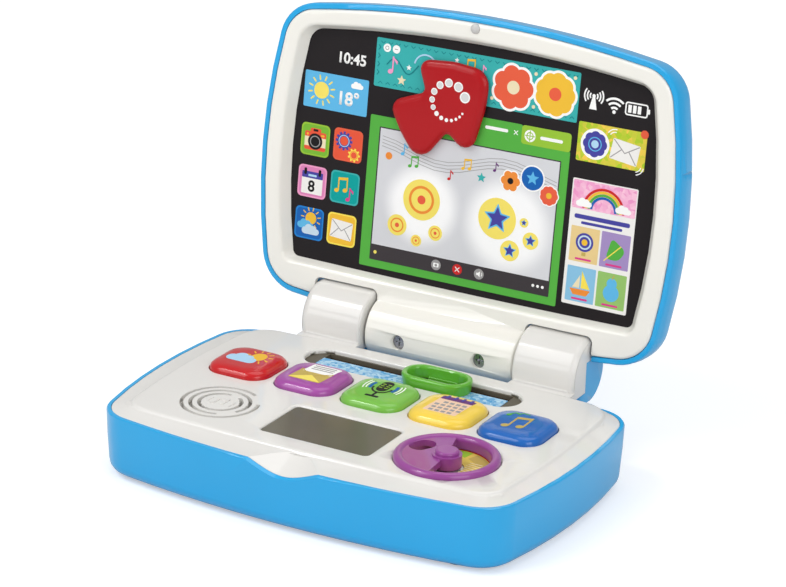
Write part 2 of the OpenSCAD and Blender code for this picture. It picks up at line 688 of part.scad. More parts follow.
wheel_bottom = dial_floor + 1.4;
shaft_bottom = cup_floor_z - 2.3;
washer_t = 1.2;

module dial_wheel() color([0.61, 0.33, 0.59]) base() translate([side_place, front_y, 0]) {
    rim_w = 4.6;
    top = deck_z + dial_rise;
    // rim with a rounded top
    rotate_extrude() {
        translate([dial_r - rim_w, wheel_bottom]) square([rim_w, top - rim_w / 2 - wheel_bottom]);
        translate([dial_r - rim_w / 2, top - rim_w / 2]) circle(rim_w / 2);
    }
    // solid sector with an oval window
    difference() {
        translate([0, 0, deck_z - 1.6]) cylinder(r = dial_r - rim_w / 2, h = 3.2);
        rotate(-86) translate([0, 0, deck_z - 3]) rotate_extrude(angle = 192)
            square([dial_r, 8]);
        translate([-15, 4, deck_z - 3]) rotate(65) linear_extrude(8) {
            square([4, 9.6], center = true);
            for (x = [-2, 2]) translate([x, 0]) circle(4.8);
        }
    }
    // hub and shaft
    translate([0, 0, wheel_bottom]) cylinder(r = 7, h = deck_z + 2.4 - wheel_bottom);
    rotate_extrude() {
        translate([0, wheel_bottom]) square([5.6, deck_z + 4.4 - 1.2 - wheel_bottom]);
        translate([0, deck_z]) square([4.4, 4.4]);
        intersection() {
            translate([4.4, deck_z + 3.2]) circle(1.2);
            translate([4, deck_z + 2]) square([3, 4]);
        }
    }
    translate([0, 0, shaft_bottom]) cylinder(r = pivot_r, h = wheel_bottom - shaft_bottom + 1);
    translate([0, 0, shaft_bottom - washer_t]) cylinder(r = 2.5, h = washer_t + 1);
}

module dial_retainer() color(steel) base() translate([side_place, front_y, shaft_bottom - washer_t])
    difference() {
        cylinder(r = 7.5, h = washer_t);
        translate([0, 0, -1]) cylinder(r = 2.5 + run / 2, h = washer_t + 2);
    }

// ---------- buttons ----------

module button(place) base() translate([place * button_pitch, button_y, 0]) difference() {
    top = deck_z + button_rise;
    skirt = ceiling_z - fit - flange_t;
    loft([
        soft_box(button_w + 3, button_w + 3, button_corner + 1, skirt),
        soft_box(button_w + 3, button_w + 3, button_corner + 1, ceiling_z - fit),
        soft_box(button_w, button_w, button_corner, ceiling_z - fit),
        soft_box(button_w, button_w, button_corner, top - 3.4),
        soft_box(button_w - 0.8, button_w - 0.8, button_corner - 0.3, top - 2.2),
        soft_box(button_w - 2.8, button_w - 2.8, button_corner - 0.9, top - 1.1),
        soft_box(button_w - 5.6, button_w - 5.6, button_corner - 1.6, top - 0.45),
        soft_box(button_w - 12, button_w - 12, button_corner - 3, top)]);
    // hollow inside, with a plunger in the middle
    difference() {
        translate([0, 0, skirt - 1]) linear_extrude(deck_z - skirt + 2)
            soft_square(button_w - 5, button_w - 5, button_corner - 2.5);
        translate([0, 0, skirt - 2]) cylinder(r = 4, h = 20);
    }
}

module button_red() color([0.87, 0.14, 0.14]) button(-2);
module button_purple() color([0.66, 0.35, 0.65]) button(-1);
module button_green() color([0.46, 0.72, 0.32]) button(0);
module button_yellow() color([0.97, 0.82, 0.28]) button(1);
module button_blue() color([0.19, 0.48, 0.75]) button(2);

// ---------- lid ----------

bush_r = 7;
bush_len = 13;
boss_r = 9.2;
barrel_wall = 2.5;
screw_v = -1.9;
head_w = 10.8;                  // seat of a barrel screw's head

// The notch over a pod, grown by g
module notch(g) translate([0, 0, back_w - 10]) linear_extrude(lid_t + 20) {
    r = 3.5;
    x0 = barrel_half - g;
    x1 = notch_out + g;
    top = notch_top + g;
    translate([x0, -20]) square([x1 - x0, top + 20 - r]);
    translate([x0 + r, -20]) square([x1 - x0 - 2 * r, top + 20]);
    for (x = [x0 + r, x1 - r]) translate([x, top - r]) circle(r);
}

// Half of the barrel with its end walls and the seats of the bushes; side +1 is the front half
module half_barrel(side) intersection() {
    union() {
        difference() {
            translate([-barrel_half, 0, 0]) drum(barrel_r, 2 * barrel_half, 1.2, 1.2);
            round_bar_x(barrel_r - barrel_wall, -barrel_half + barrel_wall, barrel_half - barrel_wall);
        }
        both_sides() round_bar_x(boss_r, barrel_half - bush_len - 1, barrel_half - 1);
    }
    translate([-100, -50, side > 0 ? 0 : -50]) cube([200, 100, 50]);
}

module bush_seats() both_sides() round_bar_x(bush_r + run / 2, barrel_half - bush_len, barrel_half + 1);

module lid_front_frame() color(frame_white) in_lid() difference() {
    union() {
        difference() {
            loft(looped = true, rings = [
                lid_ring(lid_line, frame_inset, skirt_w),
                lid_ring(lid_line, frame_inset, lid_face - 1.5),
                lid_ring(lid_line, frame_inset + 0.5, lid_face - 0.5),
                lid_ring(lid_line, frame_inset + 1.8, lid_face),
                lid_ring(mouth_line, -2, lid_face),
                lid_ring(mouth_line, -0.7, lid_face - 0.5),
                lid_ring(mouth_line, 0, lid_face - 1.6),
                lid_ring(screen_line, 0, screen_face),
                lid_ring(screen_line, -2, screen_face),
                lid_ring(mouth_line, -2, lid_face - frame_t - 1),
                lid_ring(lid_line, frame_inset + 2, lid_face - frame_t),
                lid_ring(lid_line, frame_inset + 2, skirt_w)]);
            round_bar_x(barrel_r - 1, -barrel_half - eps, barrel_half + eps);
        }
        half_barrel(1);
        for (x = [-1, 1]) translate([x * barrel_screw_x, screw_v, 0])
            cylinder(r = 5.6, h = sqrt(barrel_r * barrel_r - 60));
    }
    both_sides() notch(0);
    bush_seats();
    for (x = [-1, 1]) translate([x * barrel_screw_x, screw_v, 0]) {
        translate([0, 0, -1]) cylinder(r = 1.6, h = 30);
        translate([0, 0, head_w]) cylinder(r = 3.9, h = 10);
    }
    // seat of the camera lens
    translate([0, camera_v, lid_face - 1]) cylinder(r = camera_r + fit / 2, h = 3);
}

camera_r = 2.4;
camera_v = case_reach - 5.8;

module lid_rear_shell() color(shell_blue) in_lid() difference() {
    union() {
        difference() {
            loft(concat(
                [for (a = [-90:22.5:0]) lid_ring(swell_line, 0.4 + shell_round * (1 - cos(a)),
                    back_w + shell_round * (1 + sin(a)))],
                [lid_ring(swell_line, 0.2, lip_top - 4), lid_ring(lid_line, 0, lip_top - 1.6),
                 lid_ring(lid_line, 0, lip_top - 0.7), lid_ring(lid_line, 0.6, lip_top),
                 lid_ring(lid_line, lip_w - 0.3, lip_top), lid_ring(lid_line, lip_w, lip_top - 0.4),
                 lid_ring(lid_line, lip_w, back_w + wall + 2.6),
                 lid_ring(lid_line, lip_w + 0.8, back_w + wall + 0.8),
                 lid_ring(lid_line, lip_w + 2.6, back_w + wall)]));
            round_bar_x(barrel_r - 1, -barrel_half - eps, barrel_half + eps);
        }
        half_barrel(-1);
        // walls round the notches
        both_sides() intersection() {
            difference() {
                notch(1.8);
                round_bar_x(barrel_r + fit, 0, barrel_half + eps);
            }
            translate([0, 0, back_w]) linear_extrude(skirt_w - fit - back_w)
                polygon(inset(lid_line, 0.4));
        }
        for (x = [-1, 1]) translate([x * barrel_screw_x, screw_v, -barrel_r + 1])
            cylinder(r = 4.4, h = barrel_r - 1);
        // posts behind the screen and under the light board
        for (x = [-1, 1], v = [screen_bottom + 18, (screen_bottom + screen_top) / 2, screen_top - 19])
            translate([x * (screen_w / 2 - 22.6), v, back_w + 1])
            cylinder(r = 3, h = panel_back - back_w - 1);
        for (x = [-1, 1], v = [glow_v + 2, glow_v + glow_d - 3])
            translate([x * (glow_w / 2 - 4), v, back_w + 1])
            cylinder(r = 2.5, h = light_back - back_w - 1);
    }
    both_sides() notch(0);
    bush_seats();
    for (x = [-1, 1]) translate([x * barrel_screw_x, screw_v, -10]) cylinder(r = 1.45, h = 20);
    // step across each side
    both_sides() translate([case_w / 2 + side_swell - 1.2, step_v, back_w - 1]) rotate([0, 0, 45])
        linear_extrude(lip_top - back_w) square(2.2, center = true);
}

diffuser_t = 1.2;
arrow_pin_r = 3;
pivot_rise = 2.2;               // the arrow's pin above the screen
light_back = panel_back - diffuser_t - 2.4;

module screen_panel() color(black) in_lid() difference() {
    translate([0, 0, panel_back]) linear_extrude(panel_t) polygon(inset(screen_line, -1.8));
    translate([arrow_x, arrow_v, panel_back - 1]) cylinder(r = arrow_pin_r + run, h = panel_t + 2);
}

module light_diffuser() color([0.92, 0.93, 0.95]) in_lid()
    translate([-glow_w / 2, glow_v, panel_back - diffuser_t]) cube([glow_w, glow_d, diffuser_t]);

module light_board() color(board_green) in_lid() {
    translate([-glow_w / 2 - 2, glow_v - 4, light_back]) cube([glow_w + 4, glow_d + 7, 1.2]);
    for (i = [-1:1], v = [0.25, 0.75]) translate([i * glow_w * 0.3, glow_v + v * glow_d,
        light_back + 1.2 - eps])
        cylinder(r = 1.8, h = 1 + eps);
}

module barrel_screws() color(steel) in_lid() for (x = [-1, 1])
    translate([x * barrel_screw_x, screw_v, head_w]) rotate([180, 0, 0]) screw(3.5, 2.2, 1.4, 19);

module hinge_bushes() color([0.85, 0.84, 0.80]) in_lid() both_sides() difference() {
    round_bar_x(bush_r, barrel_half - bush_len, barrel_half);
    round_bar_x(pin_r + run, barrel_half - bush_len - 1, barrel_half + 1);
}

module camera_lens() color([0.75, 0.75, 0.74]) in_lid() translate([0, camera_v, lid_face - 1])
    rotate_extrude() {
        square([camera_r, 1.3]);
        intersection() {
            translate([0, 1.3 - 2.2]) circle(sqrt(camera_r * camera_r + 2.2 * 2.2));
            translate([0, 1.3 - eps]) square([camera_r, 3]);
        }
    }

module arrow_pivot() color([0.85, 0.84, 0.80]) in_lid() translate([arrow_x, arrow_v, 0]) {
    translate([0, 0, panel_back - 1.4]) cylinder(r = 5, h = 1.4);
    translate([0, 0, panel_back - eps]) cylinder(r = arrow_pin_r, h = panel_t + pivot_rise);
}

// ---------- arrow ----------

// Corners of the arrow round its pivot: [x, y, fillet radius]
arrow_corners = [[-23, 17.3, 5], [-3, 18.9, 42], [16.8, 17, 9], [16.2, -1, 42], [9.9, -27.2, 6],
    [-3.6, -16.1, -3], [-17.9, -34.9, 7.5], [-29.5, -20.3, 30], [-37.5, -6.2, 6], [-17, 1.5, -3]];

// Fillet of one corner as [x, y, radius, angle], clockwise round the outline; a negative
// radius marks a corner that bends inwards
function fillet(a, b, c, n = 5) =
    let (p = [a[0], a[1]], q = [b[0], b[1]], s = [c[0], c[1]], u = (p - q) / norm(p - q),
        w = (s - q) / norm(s - q), half = acos(u * w) / 2,
        centre = q + (u + w) / norm(u + w) * abs(b[2]) / sin(half),
        turn = (180 - 2 * half) * (b[2] > 0 ? -1 : 1))
    [for (i = [0:n]) [centre[0], centre[1], b[2], heading(u) - 90 + turn * i / n]];

arrow_line = [for (i = [0:len(arrow_corners) - 1]) each fillet(
    arrow_corners[(i + len(arrow_corners) - 1) % len(arrow_corners)], arrow_corners[i],
    arrow_corners[(i + 1) % len(arrow_corners)])];

module cursor_arrow() color([0.76, 0.12, 0.14]) in_lid() translate([arrow_x, arrow_v, 0])
    difference() {
        base_w = screen_face + 0.3;
        loft([for (s = [[0.8, 0], [0, 0.6], [0, arrow_t - 2], [0.6, arrow_t - 1.1],
            [1.8, arrow_t - 0.4], [3.6, arrow_t]]) lid_ring(arrow_line, s[0], base_w + s[1])]);
        translate([0, 0, base_w - 1]) cylinder(r = arrow_pin_r + run, h = pivot_rise + 1);
    }

lower_case();
upper_deck();
battery_door();
battery_door_screw();
batteries();
battery_contacts();
feet();
case_screws();
hinge_pins();
main_board();
button_membrane();
speaker_driver();
display_window();
display_module();
slider_track();
slider_channel();
track_print();
dial_disc();
button_red();
button_purple();
button_green();
button_yellow();
button_blue();
slider_ring();
slider_carriage();
dial_wheel();
dial_retainer();
lid_front_frame();
lid_rear_shell();
screen_panel();
light_diffuser();
light_board();
barrel_screws();
hinge_bushes();
camera_lens();
arrow_pivot();
cursor_arrow();
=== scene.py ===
"""Toy laptop computer: finishes, printed artwork, small fittings, light and camera.

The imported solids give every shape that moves, fastens or carries load. This script dresses
them: moulded shells are shaded smooth, and prints lie on the screen, the buttons, the dial's
disc and the turning arrow. Lengths are millimetres in the classes and metres in the meshes.
"""

from __future__ import annotations

import json
import logging
import math
from dataclasses import dataclass, field
from enum import Enum

import bmesh
import bpy
from mathutils import Matrix, Vector
from mathutils.bvhtree import BVHTree


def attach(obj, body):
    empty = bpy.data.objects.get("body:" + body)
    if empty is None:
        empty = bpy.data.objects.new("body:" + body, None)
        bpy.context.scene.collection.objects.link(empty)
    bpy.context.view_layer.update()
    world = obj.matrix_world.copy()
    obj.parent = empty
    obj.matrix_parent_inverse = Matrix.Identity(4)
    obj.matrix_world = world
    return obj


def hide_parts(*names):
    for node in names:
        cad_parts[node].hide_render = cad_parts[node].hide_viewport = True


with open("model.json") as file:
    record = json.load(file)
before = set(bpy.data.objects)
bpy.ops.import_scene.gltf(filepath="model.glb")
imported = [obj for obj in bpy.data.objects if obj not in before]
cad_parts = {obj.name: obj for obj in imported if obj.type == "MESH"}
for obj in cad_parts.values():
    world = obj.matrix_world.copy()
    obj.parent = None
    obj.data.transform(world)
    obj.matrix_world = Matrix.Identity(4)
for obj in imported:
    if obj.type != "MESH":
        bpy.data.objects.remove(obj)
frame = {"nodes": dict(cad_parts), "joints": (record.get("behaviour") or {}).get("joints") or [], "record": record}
log = logging.getLogger("toy_laptop")

Triple = tuple[float, float, float]
Colour = Triple
Point = tuple[float, float]
Shape = bmesh.types.BMesh
Socket = bpy.types.NodeSocket


def joint(name: str) -> dict:
    """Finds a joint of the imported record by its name."""
    return next(j for j in frame["joints"] if j["name"] == name)


MM = 0.001
HINGE = Vector(joint("lid_hinge")["pos_m"])
OPEN_DEG = joint("lid_hinge")["range_deg"][1]
AXIS_RISE = 4.85  # the hinge axis above the raised field of the deck
DECK_TOP = HINGE.z / MM - AXIS_RISE
SCALE = Matrix.Scale(MM, 4)
# Flat frames for drawing in millimetres: the deck from the hinge axis forwards, and the lid
DECK = Matrix.Translation((HINGE.x, HINGE.y, 0.0)) @ SCALE
LID = Matrix.Translation(HINGE) @ Matrix.Rotation(math.radians(180 - OPEN_DEG), 4, "X") @ SCALE

ROOM_LEVEL = 0.42  # the world as light, and the floor's own glow towards the camera
COAT_ROUGHNESS = 0.05
PLASTIC_IOR = 1.5
TONE_STOPS = (0.3, 0.7)  # where the darker and the paler tone of a finish begin
WIPE = 0.04  # how far roughness strays from its mean, as a share of it
WIPE_SIZE = 1.5  # size of those patches against the patches of tone
GRAIN_STRENGTH = 0.6
PAINTED_GLOW_CORE = 0.55  # the fully white part of a painted glow's reach

PRINT_SINK = 0.02  # how deep a print's underside lies in its carrier, mm
SHAPE_STEP = 0.0005  # every later shape of a sketch lies this much higher, mm
PRINT_LAYER = 0.05
DRAPE_REACH = 0.02  # how far above a draped point the search for its carrier starts, in m
SCREEN_LAYER = 0.014  # thinner, so that the arrow turns clear of the screen's print


class Surface(Enum):
    """How a finish meets light: roughness, coat, depth of the moulded grain in mm, and gloss."""

    GLOSS = (0.30, 0.60, 0.004, 0.28)
    SILK = (0.34, 0.20, 0.004, 0.16)
    SATIN = (0.36, 0.06, 0.010, 0.38)
    PRINT = (0.45, 0.0, 0.004, 0.16)
    RUBBER = (0.65, 0.0, 0.030, 0.30)
    GLASS = (0.22, 0.08, 0.002, 0.20)
    METAL = (0.25, 0.0, 0.008, 0.50)


def linear(colour: Colour) -> tuple[float, float, float, float]:
    """Turns an 8-bit display colour into the linear colour that shaders take.

    Args:
        colour: Red, green and blue from 0 to 255.

    Returns:
        Linear red, green, blue and an alpha of 1.
    """
    return (*(((c / 255 + 0.055) / 1.055) ** 2.4 if c > 10.3 else c / 255 / 12.92
              for c in colour), 1.0)


def fill(node: bpy.types.Node, inputs: dict[str | int, object]) -> bpy.types.Node:
    """Sets or links input sockets of a shader node.

    Args:
        node: The node.
        inputs: For each socket, a constant or the output that feeds it.

    Returns:
        The same node.
    """
    for name, value in inputs.items():
        if isinstance(value, Socket):
            node.id_data.links.new(value, node.inputs[name])
        else:
            node.inputs[name].default_value = value
    return node


def add_node(tree: bpy.types.NodeTree, kind: str, **inputs: object) -> bpy.types.Node:
    """Adds a shader node; an input's name is given with _ for its spaces."""
    return fill(tree.nodes.new("ShaderNode" + kind),
                {name.replace("_", " "): value for name, value in inputs.items()})


def blend(share: Socket, colour: Socket, over: Colour) -> Socket:
    """Mixes a fixed colour over a varying one.

    Args:
        share: How much of the fixed colour shows, from 0 to 1.
        colour: The varying colour.
        over: The fixed display colour.

    Returns:
        The mixed colour.
    """
    mix = add_node(share.id_data, "Mix")
    mix.data_type = "RGBA"
    return fill(mix, {"Factor": share, "A": colour, "B": linear(over)}).outputs["Result"]


def polar(x: float, y: float, reach: float, turn: float) -> Point:
    """Gives the point at a distance from a middle, in a direction in radians."""
    return (x + reach * math.cos(turn), y + reach * math.sin(turn))


def link_object(name: str, data: bpy.types.ID) -> bpy.types.Object:
    """Makes an object at the origin and links it to the scene.

    Args:
        name: The object's name.
        data: Its mesh, curve, camera or lamp.

    Returns:
        The new object.
    """
    obj = bpy.data.objects.new(name, data)
    bpy.context.scene.collection.objects.link(obj)
    return obj


@dataclass(frozen=True)
class Finish:
    """One moulded or printed finish, with tone variation and grain from object-space noise."""

    name: str
    colour: Colour
    surface: Surface = Surface.PRINT
    tone: float = 0.03
    tone_size: float = 30.0
    grain_size: float = 0.5
    edge_round: float = 0.0

    def material(self) -> bpy.types.Material:
        """Builds the node material once and finds it again on every later call.

        Returns:
            The material.
        """
        found = bpy.data.materials.get(self.name)
        if found:
            return found
        rough, coat, grain, gloss = self.surface.value
        mat = bpy.data.materials.new(self.name)
        mat.use_nodes = True
        mat.diffuse_color = linear(self.colour)
        tree = mat.node_tree
        where = add_node(tree, "TexCoord").outputs["Object"]
        ramp = add_node(tree, "ValToRGB", Fac=self._noise(where, self.tone_size, 3))
        shares = (1 - self.tone, 1 + self.tone)
        for stop, place, share in zip(ramp.color_ramp.elements, TONE_STOPS, shares):
            stop.position = place
            stop.color = [min(c * share, 1.0) for c in linear(self.colour)[:3]] + [1.0]
        wipe = add_node(tree, "MapRange",
                        Value=self._noise(where, self.tone_size * WIPE_SIZE, 1),
                        To_Min=rough * (1 - WIPE), To_Max=rough * (1 + WIPE))
        bump = add_node(tree, "Bump", Height=self._noise(where, self.grain_size, 2),
                        Distance=grain * MM, Strength=GRAIN_STRENGTH)
        if self.edge_round:
            edge = add_node(tree, "Bevel", Radius=self.edge_round * MM)
            edge.samples = 4
            fill(bump, {"Normal": edge.outputs["Normal"]})
        fill(tree.nodes["Principled BSDF"], {
            "Base Color": self._paint(where, ramp.outputs["Color"]),
            "Metallic": 1.0 if self.surface is Surface.METAL else 0.0,
            "Roughness": wipe.outputs["Result"], "Normal": bump.outputs["Normal"],
            "IOR": PLASTIC_IOR, "Specular IOR Level": gloss, "Coat Weight": coat,
            "Coat Roughness": COAT_ROUGHNESS})
        return mat

    def _paint(self, where: Socket, colour: Socket) -> Socket:
        """Leaves the toned colour as it is; patterned finishes and the painted glow override this."""
        return colour

    @staticmethod
    def _noise(where: Socket, size: float, detail: float) -> Socket:
        """Adds a noise with patches of a size in millimetres and gives its value."""
        return add_node(where.id_data, "TexNoise", Vector=where, Scale=1000 / size,
                        Detail=detail).outputs["Fac"]


@dataclass(frozen=True)
class PaintedGlowFinish(Finish):
    """A pale sheet with painted glows: soft white painted light round given places on the lid, in place of its
    backlight.
    """

    glow_spots: tuple[Triple, ...] = ()

    def _paint(self, where: Socket, colour: Socket) -> Socket:
        """Paints the glows: brightens the colour towards white near each spot, as painted light.

        Args:
            where: Object coordinates.
            colour: The toned colour.

        Returns:
            The brightened colour.
        """
        for x, v, reach in self.glow_spots:
            apart = add_node(where.id_data, "VectorMath")
            apart.operation = "DISTANCE"
            fill(apart, {0: where, 1: LID @ Vector((x, v, 0))})
            fall = add_node(where.id_data, "MapRange", Value=apart.outputs["Value"],
                            From_Min=reach * PAINTED_GLOW_CORE * MM, From_Max=reach * MM,
                            To_Min=1.0, To_Max=0.0)
            fall.interpolation_type = "SMOOTHSTEP"
            colour = blend(fall.outputs["Result"], colour, (252, 252, 252))
        return colour


@dataclass(frozen=True)
class MosaicFinish(Finish):
    """A printed pattern of small cells in shades between two inks."""

    second: Colour = (255, 255, 255)
    cell: float = 3.0

    def _paint(self, where: Socket, colour: Socket) -> Socket:
        """Mixes the second ink into random cells.

        Args:
            where: Object coordinates.
            colour: The toned colour.

        Returns:
            The patterned colour.
        """
        cells = add_node(where.id_data, "TexVoronoi", Vector=where, Scale=1000 / self.cell)
        split = add_node(where.id_data, "SeparateColor", Color=cells.outputs["Color"])
        return blend(split.outputs["Red"], colour, self.second)


# Moulded finishes
SHELL_BLUE = Finish("shell_blue_abs", (26, 168, 229), Surface.GLOSS, 0.02, 60, 0.6, 0.25)
DECK_WHITE = Finish("deck_white_abs", (229, 227, 223), Surface.GLOSS, 0.015, 50, 0.6, 0.2)
FRAME_WHITE = Finish("frame_white_abs", (242, 240, 232), Surface.GLOSS, 0.01, 50, 0.6, 0.2)
SCREEN_BLACK = Finish("screen_print_black", (33, 29, 31), Surface.PRINT, 0.05, 40)
LCD_GREY = Finish("display_glass_olive", (101, 96, 82), Surface.GLASS, 0.03, 25)
TRACK_OLIVE = Finish("slot_floor_olive", (98, 92, 80), Surface.PRINT, 0.06, 12)
# brown plastic, darkened to paint the shade inside the deep channel of the slot
CHANNEL_SHADED_BROWN = Finish("slot_channel_brown_painted_shade", (74, 52, 38), Surface.PRINT, 0.08, 8)
TRACK_PRINT = MosaicFinish("track_print_blue", (74, 158, 214), second=(190, 222, 240), cell=1.6)
STEEL = Finish("zinc_plated_steel", (158, 160, 165), Surface.METAL, 0.08, 4, 0.2, 0.1)
FOOT_RUBBER = Finish("foot_rubber", (72, 74, 78), Surface.RUBBER, 0.06, 6, 0.4, 0.2)
LENS_CLEAR = Finish("lens_grey", (203, 202, 200), Surface.GLASS, 0.02, 5, 0.4, 0.1)
NYLON = Finish("natural_nylon", (222, 219, 210), Surface.SATIN)
CELL_WRAP = Finish("cell_wrap", (46, 46, 50), Surface.SATIN)
BOARD_GREEN = Finish("board_green", (34, 104, 62), Surface.SATIN, 0.08, 8)
BLACK_PLASTIC = Finish("black_plastic", (40, 38, 40), Surface.SATIN)
SILICONE = Finish("silicone_grey", (205, 205, 200), Surface.RUBBER)
SPEAKER_GREY = Finish("speaker_grey", (204, 202, 198), Surface.SATIN, 0.05, 5)
DIAL_DISC = Finish("dial_disc_yellow", (222, 196, 92), Surface.PRINT, 0.04, 12)
ARROW_RED = Finish("arrow_red_abs", (176, 16, 24), Surface.SILK, 0.03, 25, 0.6, 0.3)
RING_GREEN = Finish("ring_green_abs", (98, 180, 50), Surface.GLOSS, 0.03, 20, 0.6, 0.2)
DIAL_PURPLE = Finish("dial_purple_abs", (152, 70, 150), Surface.GLOSS, 0.03, 20, 0.6, 0.3)
BUTTON_FINISHES = {
    f"button_{name}": Finish(f"button_{name}_abs", colour, Surface.GLOSS, 0.03, 20, 0.6)
    for name, colour in (("red", (200, 14, 22)), ("purple", (164, 74, 162)),
                         ("green", (120, 190, 70)), ("yellow", (248, 212, 74)),
                         ("blue", (10, 100, 186)))}


def dye(name: str, *colour: float) -> Finish:
    """Names a plain printing ink."""
    return Finish("ink_" + name, colour)


WHITE = dye("white", 250, 250, 248)
BLACK = dye("black", 26, 24, 26)
GREY = dye("grey", 158, 156, 156)
PALE_GREY = dye("pale_grey", 216, 216, 216)
CHARCOAL = dye("charcoal", 62, 57, 60)
SKY = dye("sky", 96, 184, 230)
PALE_SKY = dye("pale_sky", 176, 214, 240)
ROYAL = dye("royal", 24, 98, 178)
INDIGO = dye("indigo", 72, 70, 158)
TEAL = dye("teal", 58, 176, 174)
SEA = dye("sea", 0, 160, 156)
DEEP_TEAL = dye("deep_teal", 22, 128, 134)
GRASS = dye("grass", 86, 176, 68)
LIME = dye("lime", 152, 196, 58)
YELLOW = dye("yellow", 246, 226, 106)
GOLD = dye("gold", 240, 190, 58)
OCHRE = dye("ochre", 196, 172, 92)
CREAM = dye("cream", 238, 224, 186)
ORANGE = dye("orange", 238, 142, 58)
CORAL = dye("coral", 232, 96, 66)
RED = dye("red", 206, 44, 44)
PINK = dye("pink", 240, 160, 200)
MAGENTA = dye("magenta", 220, 62, 140)
PLUM = dye("plum", 106, 52, 120)
PEACH = dye("peach", 240, 206, 178)
LEAF = dye("leaf", 122, 184, 56)
VERMILION = dye("vermilion", 232, 88, 60)
ROSE = dye("rose", 222, 132, 184)
AZURE = dye("azure", 34, 128, 206)
LEMON = dye("lemon", 250, 226, 88)
PAPER = dye("paper", 240, 238, 234)
MIST = dye("mist", 198, 218, 232)
SAND = dye("sand", 232, 204, 142)
LILAC = dye("lilac", 164, 142, 194)
POWDER = dye("powder", 138, 194, 226)
MEADOW = dye("meadow", 150, 194, 108)
CONFETTI = MosaicFinish("ink_confetti", (164, 204, 44), second=(246, 206, 84), cell=2.6)
BLOSSOM = MosaicFinish("ink_blossom", (238, 152, 200), second=(250, 198, 220), cell=1.8)
# The screen's pale sheet, with white glows painted round the two big yellow discs in place of light from the
# backlight
PAINTED_GLOW_SHEET = PaintedGlowFinish("sheet_painted_backlight_glow", (214, 215, 219),
                         glow_spots=((-24, 66, 24), (24, 64, 28)))


